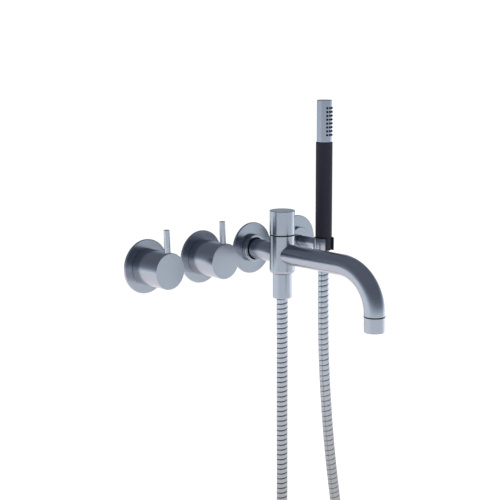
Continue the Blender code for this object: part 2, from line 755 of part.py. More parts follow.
def build_spout():
    path = spout_path()
    resolution = (PIPE_SIDES - 4) // 2  # a bevel's sides are four plus twice its resolution
    spout = add_piece(
        "spout_tube", curve_as_mesh(tube_curve("spout_outer", path, PIPE_RADIUS, resolution)), "steel", None
    )
    past_end = (SPOUT_X, -SPOUT_REACH, SPOUT_END - SPOUT_BORE_OVER)
    extended = [(SPOUT_X, -DIVERTER_OUT, 0), *path[1:-1], past_end]
    bore_mesh = curve_as_mesh(tube_curve("spout_bore", extended, PIPE_BORE, resolution))
    bore = as_cutter(bpy.data.objects.new("spout_bore", bore_mesh), None)
    shape(spout, bpy.data.objects["body_clearance"])
    shape(spout, bore)

    axis = axis_empty("outlet_axis", (SPOUT_X, -SPOUT_REACH, 0), out_of_wall=False)
    seal_top = SPOUT_END - GAP
    seal_low = seal_top - AERATOR_SEAL_THICK
    seal = ring_outline(AERATOR_SEAL_RADIUS, AERATOR_BORE + GAP, seal_top, seal_low)
    turned("aerator_seal", seal, "rubber", axis, segments=PIPE_SIDES)
    housing_top = seal_low - GAP
    lip_top = AERATOR_END + AERATOR_LIP_THICK
    housing = [
        (AERATOR_BORE, AERATOR_NECK_TOP),
        (AERATOR_BORE, housing_top),
        (AERATOR_RADIUS, housing_top),
        (AERATOR_RADIUS, AERATOR_END + EDGE),
        (AERATOR_RADIUS - EDGE, AERATOR_END),
        (AERATOR_LIP, AERATOR_END),
        (AERATOR_LIP, lip_top),
        (AERATOR_LIP + GAP, lip_top),
        (AERATOR_LIP + GAP, AERATOR_NECK_TOP),
    ]
    turned("aerator_housing", housing, "steel", axis, segments=PIPE_SIDES)
    insert_outline = [
        (0, INSERT_TOP),
        (AERATOR_LIP - SLIT, INSERT_TOP),
        (AERATOR_LIP - SLIT, AERATOR_END + INSERT_INSET),
        (0, AERATOR_END + INSERT_INSET),
    ]
    insert = turned("aerator_insert", insert_outline, "white_plastic", axis, segments=INNER, closed=False)
    spots = [(0.0, 0.0)]
    for step in range(6):
        angle = math.radians(60 * step)
        spots.append((AERATOR_HOLE_RING * math.cos(angle), AERATOR_HOLE_RING * math.sin(angle)))
    holes = [((x, y, AERATOR_END - THROUGH), (x, y, AERATOR_END + THROUGH)) for x, y in spots]
    shape(insert, rods("aerator_holes", holes, AERATOR_HOLE, axis, segments=HOLE))


def build_holder():
    """Rosette, collar, wall stud, arm, steel ring and its liner."""
    station = axis_empty("holder_station", (HOLDER_X, 0, 0), out_of_wall=True)
    rosette("holder_rosette", station)
    collar = [
        (COLLAR_RADIUS - EDGE, COLLAR_FACE),
        (COLLAR_RADIUS, COLLAR_FACE - EDGE),
        (COLLAR_RADIUS, ROSETTE_THICK + GAP),
        (NECK_RADIUS, ROSETTE_THICK + GAP),
        (NECK_RADIUS, -NECK_DEPTH),
        (STUD_RADIUS + GAP, -NECK_DEPTH),
        (STUD_RADIUS + GAP, ROSETTE_THICK),
        (ARM_RADIUS + GAP, ROSETTE_THICK),
        (ARM_RADIUS + GAP, COLLAR_FACE),
    ]
    turned("holder_collar", collar, "steel", station)
    stud = [(0, STUD_FRONT), (STUD_RADIUS, STUD_FRONT), (STUD_RADIUS, -IN_WALL), (0, -IN_WALL)]
    turned("holder_stud", stud, "steel", station, segments=INNER, closed=False)

    arm_end = HOLDER_OUT - RING_RADIUS + ARM_INTO_RING
    arm_outline = [
        (0, arm_end),
        (ARM_RADIUS, arm_end),
        (ARM_RADIUS, ROSETTE_THICK + GAP),
        (STUD_RADIUS + GAP, ROSETTE_THICK + GAP),
        (STUD_RADIUS + GAP, STUD_FRONT + GAP),
        (0, STUD_FRONT + GAP),
    ]
    arm = turned("holder_arm", arm_outline, "steel", station, segments=PIPE_SIDES, closed=False)
    axis = axis_empty("handset_axis", (HOLDER_X, -HOLDER_OUT, 0), out_of_wall=False)
    upright = [((0, 0, -THROUGH), (0, 0, THROUGH))]
    shape(arm, rods("ring_clearance", upright, RING_RADIUS + GAP, axis, segments=FINE))
    screw_hole = [((0, 0, ARM_SCREW_OUT), (0, -THROUGH, ARM_SCREW_OUT))]
    shape(arm, rods("arm_screw_hole", screw_hole, ARM_SCREW_RADIUS + GAP, station))
    pin_top = ARM_RADIUS - SLIT
    pin = [
        (0, pin_top - ARM_SOCKET_DEPTH),
        (ARM_SOCKET_RADIUS, pin_top - ARM_SOCKET_DEPTH),
        (ARM_SOCKET_RADIUS, pin_top),
        (ARM_SCREW_RADIUS, pin_top),
        (ARM_SCREW_RADIUS, STUD_RADIUS + 2 * GAP),
        (0, STUD_RADIUS + 2 * GAP),
    ]
    screw = turned("holder_grub_screw", pin, "steel", station, segments=SMALL, closed=False)
    screw.location = (0, 0, ARM_SCREW_OUT)
    screw.rotation_euler = (math.radians(90), 0, 0)

    band = ring_outline(RING_RADIUS, RING_BORE, RING_TOP, RING_BOTTOM)
    ring = turned("holder_ring", band, "steel", axis, segments=FINE)
    half = RING_SLOT / 2
    slot = block("ring_slot", (-half, -THROUGH, -THROUGH), (half, 0, THROUGH), axis)
    shape(ring, slot)

    liner_outline = [
        (RING_BORE - GAP, RING_TOP),
        (RING_BORE - GAP, RING_BOTTOM),
        (CONE_AT_RING_BOTTOM + GAP, RING_BOTTOM),
        (CONE_TOP + GAP, RING_TOP),
    ]
    liner = turned("holder_liner", liner_outline, "black_plastic", axis, segments=FINE)
    half = LINER_SLOT / 2 + LINER_LIP
    front = math.sqrt(RING_RADIUS**2 - half**2)
    lip_back = -front + LINER_LIP_DEPTH
    lips = block("liner_lips", (-half, -front, RING_BOTTOM), (half, lip_back, RING_TOP), axis)
    shape(liner, lips, "UNION")
    half = LINER_SLOT / 2
    mouth = block("liner_slot", (-half, -THROUGH, -THROUGH), (half, 0, THROUGH), axis)
    shape(liner, mouth)
    return axis


def build_hose_swivel(axis):
    """The hose's upper ferrule: it lifts with the hand shower, which turns on it."""
    flange_low = UPPER_FERRULE_TOP - UPPER_FERRULE_FLANGE
    ferrule = [
        (NUT_THREAD - GAP, UPPER_FERRULE_TOP),
        (NUT_THREAD - GAP, flange_low),
        (UPPER_FERRULE_NECK, flange_low),
        (UPPER_FERRULE_NECK, HOSE_HIGH_END + GAP),
        (FERRULE_BORE, HOSE_HIGH_END + GAP),
        (FERRULE_BORE, UPPER_FERRULE_TOP),
    ]
    turned("upper_hose_ferrule", ferrule, "brass", axis, segments=INNER)


def build_handset(axis):
    """Cone nut, washer, connector, restrictor, core tube, grip, head and nozzle insert."""
    nut = [
        (CONE_TOP, CONE_TOP_Z),
        (CONE_AT_RING_BOTTOM, RING_BOTTOM),
        (SHELF_BORE, RING_BOTTOM),
        (SHELF_BORE, SHELF_TOP),
        (NUT_THREAD, SHELF_TOP),
        (NUT_THREAD, CONE_TOP_Z),
    ]
    turned("upper_hose_nut", nut, "black_plastic", axis)
    washer = ring_outline(NUT_THREAD - GAP, WASHER_BORE, WASHER_TOP, WASHER_LOW)
    turned("upper_hose_washer", washer, "rubber", axis, segments=INNER)
    connector = [
        (GRIP_BORE - GAP, CORE_BOTTOM - GAP),
        (GRIP_BORE - GAP, CONE_TOP_Z + 2 * GAP),
        (NUT_THREAD - GAP, CONE_TOP_Z + 2 * GAP),
        (NUT_THREAD - GAP, CONNECTOR_END),
        (CONNECTOR_BORE, CONNECTOR_END),
        (CONNECTOR_BORE, CORE_BOTTOM - GAP),
    ]
    turned("handset_connector", connector, "brass", axis, segments=INNER)
    restrictor = ring_outline(CONNECTOR_BORE - GAP, RESTRICTOR_BORE, RESTRICTOR_TOP, RESTRICTOR_LOW)
    turned("flow_restrictor", restrictor, "white_plastic", axis, segments=SMALL)
    core = ring_outline(CORE_RADIUS, CORE_BORE, CORE_TOP, CORE_BOTTOM)
    turned("handset_core_tube", core, "white_plastic", axis, segments=INNER)
    grip = ring_outline(GRIP_RADIUS, GRIP_BORE, GRIP_TOP, CONE_TOP_Z + GAP, edge=GRIP_EDGE)
    turned("handset_grip", grip, "black_plastic", axis)

    head_outline = [
        (0, HEAD_TOP),
        (HEAD_RADIUS - EDGE, HEAD_TOP),
        (HEAD_RADIUS, HEAD_TOP - EDGE),
        (HEAD_RADIUS, GRIP_TOP + GAP),
        (HEAD_NECK, GRIP_TOP + GAP),
        (HEAD_NECK, HEAD_NECK_END),
        (HEAD_BORE, HEAD_NECK_END),
        (HEAD_BORE, HEAD_TOP - HEAD_ROOF),
        (0, HEAD_TOP - HEAD_ROOF),
    ]
    head = turned("handset_head", head_outline, "steel", axis, closed=False)
    insert_top = HEAD_TOP - HEAD_ROOF - GAP
    insert_outline = ring_outline(INSERT_RADIUS, INSERT_BORE, insert_top, CORE_TOP + GAP)
    insert = turned("nozzle_insert", insert_outline, "rubber", axis, segments=INNER)
    rays = []
    for row in range(NOZZLE_ROWS):
        height = NOZZLE_TOP - row * NOZZLE_PITCH
        for angle in NOZZLE_ANGLES:
            turn = math.radians(angle)
            rays.append((Vector((math.sin(turn), -math.cos(turn), 0)), Vector((0, 0, height))))
    holes = [(place + ray * INSERT_RADIUS, place + ray * THROUGH) for ray, place in rays]
    shape(head, rods("nozzle_holes", holes, NOZZLE_HOLE, axis, segments=HOLE))
    nozzles = [(place + ray * NOZZLE_ROOT, place + ray * NOZZLE_TIP) for ray, place in rays]
    shape(insert, rods("nozzles", nozzles, NOZZLE_RADIUS, axis, segments=HOLE), "UNION")


def build_hose():
    curve = tube_curve("hose", smooth_route(HOSE_ROUTE, HOSE_POINTS), HOSE_RADIUS, HOSE_RESOLUTION)
    add_piece("hose", curve, "hose_steel", None)


def build():
    build_valve("hot", HOT_X)
    build_valve("cold", COLD_X)
    diverter_axis = build_diverter()
    build_spout_station()
    build_hose_outlet(diverter_axis)
    build_spout()
    handset_axis = build_holder()
    build_hose_swivel(handset_axis)
    build_handset(handset_axis)
    build_hose()


build()
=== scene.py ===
import json
import math

import bmesh
import bpy
import numpy as np
from mathutils import Matrix, Vector


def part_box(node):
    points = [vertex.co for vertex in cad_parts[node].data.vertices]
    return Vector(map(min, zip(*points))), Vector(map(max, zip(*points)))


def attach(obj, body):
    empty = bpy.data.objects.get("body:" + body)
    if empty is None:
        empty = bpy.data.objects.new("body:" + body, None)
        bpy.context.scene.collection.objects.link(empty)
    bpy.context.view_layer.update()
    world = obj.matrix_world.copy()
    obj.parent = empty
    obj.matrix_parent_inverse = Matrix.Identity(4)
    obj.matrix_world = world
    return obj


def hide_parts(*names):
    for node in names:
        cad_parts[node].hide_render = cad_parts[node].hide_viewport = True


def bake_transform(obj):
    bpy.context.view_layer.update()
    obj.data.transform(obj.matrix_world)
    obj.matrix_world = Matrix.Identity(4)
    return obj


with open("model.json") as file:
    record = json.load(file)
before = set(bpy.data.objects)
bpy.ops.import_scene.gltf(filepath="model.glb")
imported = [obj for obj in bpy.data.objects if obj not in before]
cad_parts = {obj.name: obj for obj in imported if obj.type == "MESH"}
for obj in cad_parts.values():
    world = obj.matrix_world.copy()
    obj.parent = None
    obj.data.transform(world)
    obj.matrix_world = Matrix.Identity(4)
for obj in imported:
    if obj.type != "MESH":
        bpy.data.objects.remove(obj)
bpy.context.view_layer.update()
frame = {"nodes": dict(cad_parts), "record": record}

# ---------------------------------------------------------------- camera

LENS = 95.611  # mm
SENSOR_WIDTH = 36.0  # mm
CAMERA_AT = (-1.05403, -1.11538, 0.28625)
CAMERA_TURN = math.radians(43.333)  # from +Y towards +X
CAMERA_DROP = math.radians(10.677)  # looks down by this much
CAMERA_ROLL = math.radians(-0.207)


def make_camera():
    ahead = Vector((
        math.sin(CAMERA_TURN) * math.cos(CAMERA_DROP),
        math.cos(CAMERA_TURN) * math.cos(CAMERA_DROP),
        -math.sin(CAMERA_DROP),
    ))
    level = Vector((math.cos(CAMERA_TURN), -math.sin(CAMERA_TURN), 0))
    upward = level.cross(ahead)
    right = math.cos(CAMERA_ROLL) * level + math.sin(CAMERA_ROLL) * upward
    top = -math.sin(CAMERA_ROLL) * level + math.cos(CAMERA_ROLL) * upward
    data = bpy.data.cameras.new("camera")
    data.lens = LENS
    data.sensor_width = SENSOR_WIDTH
    data.clip_start = 0.05
    data.clip_end = 2000.0
    camera = bpy.data.objects.new("camera", data)
    turn = Matrix((right, top, -ahead)).transposed().to_4x4()
    camera.matrix_world = Matrix.Translation(CAMERA_AT) @ turn
    bpy.context.scene.collection.objects.link(camera)
    bpy.context.scene.camera = camera


make_camera()

# ---------------------------------------------------------------- materials


class Nodes:
    """A node tree, with short ways to add nodes. An input is a number, a colour or another node's socket."""

    def __init__(self, tree):
        self.tree = tree

    def add(self, kind, inputs=(), **settings):
        """A new node with those settings and inputs."""
        node = self.tree.nodes.new("ShaderNode" + kind)
        for key, value in settings.items():
            setattr(node, key, value)
        for key, value in dict(inputs).items():
            if isinstance(value, bpy.types.NodeSocket):
                self.tree.links.new(value, node.inputs[key])
            else:
                node.inputs[key].default_value = value
        return node

    def math(self, operation, a, b=0.0, c=0.0):
        return self.add("Math", {0: a, 1: b, 2: c}, operation=operation).outputs[0]

    def noise(self, vector, scale=1.0, detail=2.0, roughness=0.5):
        values = {"Vector": vector, "Scale": scale, "Detail": detail, "Roughness": roughness}
        return self.add("TexNoise", values).outputs[0]

    def blend(self, factor, first, second):
        """From the first colour to the second."""
        return self.add("Mix", {0: factor, 6: (*first, 1), 7: (*second, 1)}, data_type="RGBA").outputs[2]

    def around(self, value, middle, spread):
        """value from 0 to 1 becomes middle plus or minus half of spread."""
        return self.math("MULTIPLY_ADD", value, spread, middle - spread / 2)


class Surface(Nodes):
    """The nodes of a new material."""

    def __init__(self, name):
        self.material = bpy.data.materials.new(name)
        self.material.use_nodes = True
        super().__init__(self.material.node_tree)
        self.shader = self.tree.nodes["Principled BSDF"]

    def finish(self, color, roughness, height=None, strength=0.0, distance=0.0, **constants):
        """Joins the colour, the roughness and a bump's height to the shader, and sets its constants."""
        link = self.tree.links.new
        link(color, self.shader.inputs["Base Color"])
        link(roughness, self.shader.inputs["Roughness"])
        if height is not None:
            values = {"Height": height, "Strength": strength, "Distance": distance}
            bump = self.add("Bump", values)
            link(bump.outputs["Normal"], self.shader.inputs["Normal"])
        for key, value in constants.items():
            self.shader.inputs[key.replace("_", " ")].default_value = value
        return self.material


# Scales are noise cells on a metre
GROOVE_BREAKS = 45.0  # along a turned piece's groove
GROOVES_ROUND = 3.0  # once round a swept piece
GROOVE_DEPTH = 0.00002
STREAK = 0.16  # the streaks' scale, as a share of the grooves'
STREAK_SHARE = 0.6  # of the metal's tone, and the film makes the rest
FILM_SCALE = 38.0
METAL_SPREAD = 0.05
GROOVE_ROUGHNESS = 0.07
FILM_ROUGHNESS = 0.05
TONE_SCALE = 60.0
GRAIN_SHARE = 0.35  # of a cast piece's tone
GRAIN_DEPTH = 0.00003
GRAIN_ROUGHNESS = 0.12


def two_tones(color, spread):
    """The colour made darker and lighter by that share."""
    return tuple(c * (1 - spread) for c in color), tuple(min(1.0, c * (1 + spread)) for c in color)


def brushed(name, color, roughness, groove=5000.0, strength=0.10, swept=False, painted_shade=None):
    """Metal with fine grooves round a turned piece's own axis, or across a swept piece's length.

    groove is the scale across the grooves. The last argument is a painted shade: a tint, with the height
    where it starts and the lower one where it is full.
    """
    n = Surface(name)
    if swept:
        place = n.add("UVMap", uv_map="along").outputs["UV"]
        split = n.add("SeparateXYZ", {0: place})
        across = n.math("MULTIPLY", split.outputs[0], groove)
        down = n.math("MULTIPLY", split.outputs[1], GROOVES_ROUND)
        lines = n.add("CombineXYZ", {0: across, 1: down}).outputs[0]
    else:
        place = n.add("TexCoord").outputs["Object"]
        split = n.add("SeparateXYZ", {0: place})
        flat = n.add("CombineXYZ", {0: split.outputs[0], 1: split.outputs[1]}).outputs[0]
        radius = n.add("VectorMath", {0: flat}, operation="LENGTH").outputs["Value"]
        across = n.math("MULTIPLY", radius, groove)
        down = n.math("MULTIPLY", split.outputs[2], groove)
        along = n.math("MULTIPLY", n.math("ADD", split.outputs[0], split.outputs[1]), GROOVE_BREAKS)
        lines = n.add("CombineXYZ", {0: across, 1: down, 2: along}).outputs[0]
    fine = n.noise(lines, roughness=0.6)
    wide = n.noise(lines, scale=STREAK)
    film = n.noise(n.add("TexCoord").outputs["Object"], scale=FILM_SCALE, detail=3.0, roughness=0.55)
    tone = n.math("MULTIPLY_ADD", wide, STREAK_SHARE, n.math("MULTIPLY", film, 1 - STREAK_SHARE))
    rough = n.math("ADD", n.around(fine, roughness, GROOVE_ROUGHNESS), n.around(film, 0.0, FILM_ROUGHNESS))
    metal = n.blend(tone, *two_tones(color, METAL_SPREAD))
    # Painted shade: the tint is multiplied in, more of it lower down
    if painted_shade:
        tint, top, bottom = painted_shade
        height = n.add("SeparateXYZ", {0: n.add("TexCoord").outputs["Object"]}).outputs[2]
        share = n.add("MapRange", {0: height, 1: top, 2: bottom, 3: 0.0, 4: 1.0}).outputs[0]
        layers = {0: share, 6: metal, 7: (*tint, 1)}
        metal = n.add("Mix", layers, data_type="RGBA", blend_type="MULTIPLY").outputs[2]
    return n.finish(metal, rough, fine, strength, GROOVE_DEPTH, Metallic=1.0, Anisotropic=0.0)


def cast(name, color, spread, roughness, scale, strength=0.10, metallic=0.0, **constants):
    """Plastic, rubber, ceramic or plain metal with a fine grain of that scale and an uneven tone."""
    n = Surface(name)
    place = n.add("TexCoord").outputs["Object"]
    grain = n.noise(place, scale=scale, detail=3.0, roughness=0.6)
    tone = n.noise(place, scale=TONE_SCALE, detail=3.0)
    mixed = n.math("MULTIPLY_ADD", grain, GRAIN_SHARE, n.math("MULTIPLY", tone, 1 - GRAIN_SHARE))
    rough = n.around(mixed, roughness, GRAIN_ROUGHNESS)
    toned = n.blend(mixed, *two_tones(color, spread))
    return n.finish(toned, rough, grain, strength, GRAIN_DEPTH, Metallic=metallic, **constants)


STEEL_COLOR = (0.386, 0.418, 0.472)
# The lever is the same steel, coloured lighter as a painted highlight
LEVER_PAINTED_LIGHT_COLOR = (0.49, 0.525, 0.575)
HOSE_COLOR = (0.405, 0.445, 0.50)
HOSE_PAINTED_SHADE = ((0.77, 0.76, 0.70), -0.07, -0.29)  # painted shade, darker towards its lower loop where the hose mirrors less light
BRASS_COLOR = (0.72, 0.55, 0.29)
CERAMIC_COLOR = (0.86, 0.85, 0.81)
RUBBER_COLOR = (0.008, 0.008, 0.011)
# Painted shade for the hose's grooves, where the strips shade each other
GROOVE_SHADE_COLOR = (0.075, 0.08, 0.095)
BLACK_COLOR = (0.019, 0.0185, 0.032)
WHITE_COLOR = (0.78, 0.78, 0.76)

STEEL = brushed("steel_turned", STEEL_COLOR, roughness=0.23)
STEEL_SWEPT = brushed("steel_swept", STEEL_COLOR, roughness=0.23, swept=True)
# Painted highlight: the lever's steel is lighter than the rest
LEVER_STEEL_PAINTED_LIGHT = brushed("steel_lever_painted_light", LEVER_PAINTED_LIGHT_COLOR, roughness=0.26)
HOSE_STEEL = brushed(
    "hose_strip", HOSE_COLOR, roughness=0.20, groove=2600.0, strength=0.05, swept=True, painted_shade=HOSE_PAINTED_SHADE,
)
BRASS_TURNED = brushed("brass_turned", BRASS_COLOR, roughness=0.30)
BRASS = cast("brass_plain", BRASS_COLOR, spread=0.08, roughness=0.32, scale=900.0, metallic=1.0)
STEEL_PLAIN = cast("steel_plain", STEEL_COLOR, spread=0.06, roughness=0.34, scale=1200.0, metallic=1.0)
CERAMIC = cast("ceramic_disc", CERAMIC_COLOR, spread=0.04, roughness=0.22, scale=1500.0, strength=0.03)
RUBBER = cast(
    "black_rubber", RUBBER_COLOR, spread=0.30, roughness=0.66, scale=1400.0, strength=0.15,
    Specular_IOR_Level=0.20,
)
HOSE_GROOVE_SHADE = cast(
    "hose_groove_painted_shade", GROOVE_SHADE_COLOR, spread=0.20, roughness=0.55, scale=1400.0, Specular_IOR_Level=0.30,
)
BLACK = cast(
    "black_grip", BLACK_COLOR, spread=0.16, roughness=0.62, scale=1800.0, strength=0.16,
    Specular_IOR_Level=0.30,
)
WHITE = cast("white_plastic", WHITE_COLOR, spread=0.04, roughness=0.38, scale=1200.0, strength=0.06)

CAD_LOOKS = {
    "brushed_steel": STEEL_PLAIN,
    "hose_steel": STEEL_PLAIN,
    "brass": BRASS,
    "ceramic": CERAMIC,
    "rubber": RUBBER,
    "black_plastic": BLACK,
    "white_plastic": WHITE,
}

# ---------------------------------------------------------------- mesh tools

SIDES = 96  # of a round piece
FINE_SIDES = 128  # of the widest ones
MEDIUM_SIDES = 64
SMALL_SIDES = 48
HOLE_SIDES = 32
FILLET_STEPS = 4
FILLET_MARGIN = 0.25  # of a fillet, from its arc to the row that keeps the flat beside it flat
SHARP = math.radians(35)  # an edge that turns by more is shaded sharp
EDGE = 0.0005  # roundings: of a visible edge,
SOFT = 0.0003  # of a lesser edge
CRISP = 0.0002  # and of an edge that closes on another piece
ON_AXIS = 1e-7  # points nearer to the axis than this are on it
# Local +Z points out of the wall and local +Y up
OUT_OF_WALL = Matrix(((1, 0, 0, 0), (0, 0, -1, 0), (0, 1, 0, 0), (0, 0, 0, 1)))


class Axis:
    """A CAD node's turning axis: the frame that pieces are turned in, and the node's reach in it."""

    def __init__(self, node, upright=False):
        low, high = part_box(node)
        middle = (low + high) / 2
        if upright:
            self.frame = Matrix.Translation((middle.x, middle.y, 0))
            self.low, self.high = low.z, high.z
        else:
            self.frame = Matrix.Translation((middle.x, 0, 0)) @ OUT_OF_WALL
            self.low, self.high = -high.y, -low.y
        self.radius = (high.x - low.x) / 2


def rounded(outline, closed):
    """The outline's (radius, height) points, with an arc at each corner that gives a third number."""
    points = [Vector(p[:2]) for p in outline]
    fillets = [p[2] if len(p) > 2 else 0.0 for p in outline]
    result = []
    for i, (corner, fillet) in enumerate(zip(points, fillets)):
        if not fillet or (not closed and i in (0, len(points) - 1)):
            result.append(corner)
            continue
        back = (points[i - 1] - corner).normalized()
        on = (points[(i + 1) % len(points)] - corner).normalized()
        half = back.angle(on) / 2
        reach = fillet / math.tan(half)
        middle = corner + (back + on).normalized() * (fillet / math.sin(half))
        first, last = corner + back * reach, corner + on * reach
        result.append(corner + back * (reach + FILLET_MARGIN * fillet))
        for step in range(FILLET_STEPS + 1):
            share = step / FILLET_STEPS
            spoke = (first - middle).normalized().slerp((last - middle).normalized(), share)
            result.append(middle + spoke * fillet)
        result.append(corner + on * (reach + FILLET_MARGIN * fillet))
    return result


def new_piece(name, bm, material, place=Matrix.Identity(4), crease=SHARP):
    """An object with the mesh, which is freed. Edges that turn by more than the crease are shaded sharp."""
    bmesh.ops.recalc_face_normals(bm, faces=bm.faces)
    mesh = bpy.data.meshes.new(name)
    bm.to_mesh(mesh)
    bm.free()
    mesh.shade_smooth()
    mesh.set_sharp_from_angle(angle=crease)
    mesh.materials.append(material)
    piece = bpy.data.objects.new(name, mesh)
    piece.matrix_world = place
    bpy.context.scene.collection.objects.link(piece)
    return piece


def turned_mesh(outline, closed, sides):
    """The outline turned about Z. An open outline starts and ends on the axis."""
    points = rounded(outline, closed)
    bm = bmesh.new()
    rings = []
    for radius, height in points:
        if radius < ON_AXIS:
            rings.append([bm.verts.new((0, 0, height))])
            continue
        ring = []
        for i in range(sides):
            angle = 2 * math.pi * i / sides
            ring.append(bm.verts.new((radius * math.cos(angle), radius * math.sin(angle), height)))
        rings.append(ring)
    pairs = list(zip(rings, rings[1:]))
    if closed:
        pairs.append((rings[-1], rings[0]))
    for a, b in pairs:
        for i in range(sides):
            j = (i + 1) % sides
            corners = [a[i % len(a)], a[j % len(a)], b[j % len(b)], b[i % len(b)]]
            corners = list(dict.fromkeys(corners))
            if len(corners) > 2:
                bm.faces.new(corners)
    return bm


def turn_piece(name, outline, material, place, closed=True, sides=SIDES):
    return new_piece(name, turned_mesh(outline, closed, sides), material, place)


def settle(piece, body, slot, *nodes):
    """The piece rides on the body and stands for the CAD nodes."""
    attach(piece, body)
    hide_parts(*nodes)


def cylinder_into(bm, radius, start, end, sides):
    """Adds a solid cylinder to the mesh."""
    start, end = Vector(start), Vector(end)
    turn = (end - start).to_track_quat("Z", "Y").to_matrix().to_4x4()
    bmesh.ops.create_cone(
        bm, cap_ends=True, segments=sides, radius1=radius, radius2=radius,
        depth=(end - start).length, matrix=Matrix.Translation((start + end) / 2) @ turn,
    )


def drill(piece, holes, radius, sides=HOLE_SIDES):
    """Cuts round holes, each from a start to an end in the piece's own frame."""
    bm = bmesh.new()
    for start, end in holes:
        cylinder_into(bm, radius, start, end, sides)
    tool = new_piece("drill", bm, piece.data.materials[0], piece.matrix_world)
    cut = piece.modifiers.new("drill", "BOOLEAN")
    cut.operation = "DIFFERENCE"
    cut.solver = "EXACT"
    cut.object = tool
    apply_modifiers(piece)
    bpy.data.objects.remove(tool, do_unlink=True)
    piece.data.set_sharp_from_angle(angle=SHARP)


def apply_modifiers(piece):
    """Replaces the piece's mesh by the one that its modifiers make."""
    bpy.context.view_layer.update()
    ready = piece.evaluated_get(bpy.context.evaluated_depsgraph_get())
    mesh = bpy.data.meshes.new_from_object(ready)
    piece.modifiers.clear()
    piece.data = mesh


THREAD_BAND = 1e-5  # how near a vertex lies to the thread's radius


def thread(piece, radius, low, high, pitch, depth):
    """Winds a thread into the dense rows at that radius between two heights."""
    for vert in piece.data.vertices:
        x, y, z = vert.co
        here = math.hypot(x, y)
        if abs(here - radius) > THREAD_BAND or not low <= z <= high:
            continue
        phase = (z / pitch - math.atan2(y, x) / (2 * math.pi)) % 1.0
        fade = min(1.0, (z - low) / pitch, (high - z) / pitch)
        scale = 1 - depth * fade * (1 - abs(2 * phase - 1)) / here
        vert.co = (x * scale, y * scale, z)
    piece.data.update()


def rows(radius, start, end, step):
    """Dense outline points along a cylinder."""
    count = max(2, round(abs(end - start) / step))
    return [(radius, start + (end - start) * i / count) for i in range(count + 1)]


# ---------------------------------------------------------------- hose

HOSE_PITCH = 0.0058  # at the start of the route
HOSE_STRETCH = 0.0737  # by twice this share the pitch has grown at the end
HOSE_START = 0.34  # turns that lie before the route's first point
# Points on the hose's middle line, the same as in its CAD solid
HOSE_ROUTE = (
    (0.0000, -0.0520, -0.0460),
    (0.0000, -0.0520, -0.0850),
    (0.0000, -0.0520, -0.1500),
    (0.0000, -0.0520, -0.2200),
    (0.0000, -0.0520, -0.3000),
    (-0.0014, -0.0515, -0.3800),
    (-0.0040, -0.0507, -0.4550),
    (-0.0073, -0.0495, -0.5200),
    (-0.0086, -0.0485, -0.5706),
    (0.0083, -0.0481, -0.6049),
    (0.0358, -0.0484, -0.6256),
    (0.0767, -0.0487, -0.6257),
    (0.1046, -0.0488, -0.6033),
    (0.1165, -0.0485, -0.5680),
    (0.1164, -0.0477, -0.5200),
    (0.1144, -0.0472, -0.4550),
    (0.1080, -0.0468, -0.3860),
    (0.0981, -0.0468, -0.3240),
    (0.0887, -0.0468, -0.2650),
    (0.0815, -0.0468, -0.2050),
    (0.0763, -0.0468, -0.1400),
    (0.0745, -0.0468, -0.0850),
    (0.0743, -0.0468, -0.0450),
    (0.0743, -0.0468, -0.0066),
)
# One strip of the hose: (share of the pitch, radius)
HOSE_PROFILE = (
    (0.00, 0.00560),
    (0.030, 0.00565),
    (0.035, 0.00630),
    (0.06, 0.00646),
    (0.25, 0.00650),
    (0.60, 0.00650),
    (0.89, 0.00648),
    (0.94, 0.00640),
    (0.95, 0.00565),
    (0.975, 0.00560),
)
GROOVE_RADIUS = 0.0060  # below it lies the groove between two turns, coloured dark as painted shade
HOSE_SIDES = 32
HOSE_SAMPLES = 1200  # along the route, for the frames that the strip is wound on
LENGTH_SAMPLES = 200  # on each stretch of the spline
SEAM_GAP = 1e-7  # vertices nearer than this are one
HOSE_SHARP = math.radians(50)
NEARLY_ALONG = 0.1  # sine of the angle to Y under which a line's first side is taken from X instead


def spline_through(route):
    """The natural cubic spline through the route: a function from distance to point, and its length."""
    knots = np.array(route)
    runs = np.linalg.norm(np.diff(knots, axis=0), axis=1)
    marks = np.concatenate([[0.0], np.cumsum(runs)])
    last = len(knots) - 1
    system = np.eye(last + 1)
    target = np.zeros((last + 1, 3))
    for i in range(1, last):
        before, after = runs[i - 1], runs[i]
        system[i, i - 1 : i + 2] = before, 2 * (before + after), after
        target[i] = 6 * ((knots[i + 1] - knots[i]) / after - (knots[i] - knots[i - 1]) / before)
    bends = np.linalg.solve(system, target)

    def at(mark):
        i = np.clip(np.searchsorted(marks, mark, side="right") - 1, 0, last - 1)
        along = (mark - marks[i])[:, None]
        run = runs[i][:, None]
        slope = (knots[i + 1] - knots[i]) / run - run * (2 * bends[i] + bends[i + 1]) / 6
        cubic = (bends[i + 1] - bends[i]) * along**3 / (6 * run)
        return knots[i] + slope * along + bends[i] * along**2 / 2 + cubic

    fine = np.linspace(0, marks[-1], LENGTH_SAMPLES * last)
    steps = np.linalg.norm(np.diff(at(fine), axis=0), axis=1)
    length = np.concatenate([[0.0], np.cumsum(steps)])
    return lambda distance: at(np.interp(distance, length, fine)), length[-1]


def carried_frames(points):
    """Side and lift at each point, square to the line and turning no more than the line itself does."""
    tangents = np.gradient(points, axis=0)
    tangents /= np.linalg.norm(tangents, axis=1)[:, None]
    side = np.cross(tangents[0], (0.0, 1.0, 0.0))
    if np.linalg.norm(side) < NEARLY_ALONG:
        side = np.cross(tangents[0], (1.0, 0.0, 0.0))
    sides = []
    for tangent in tangents:
        side = side - tangent * np.dot(side, tangent)
        side /= np.linalg.norm(side)
        sides.append(side)
    sides = np.array(sides)
    return sides, np.cross(tangents, sides)


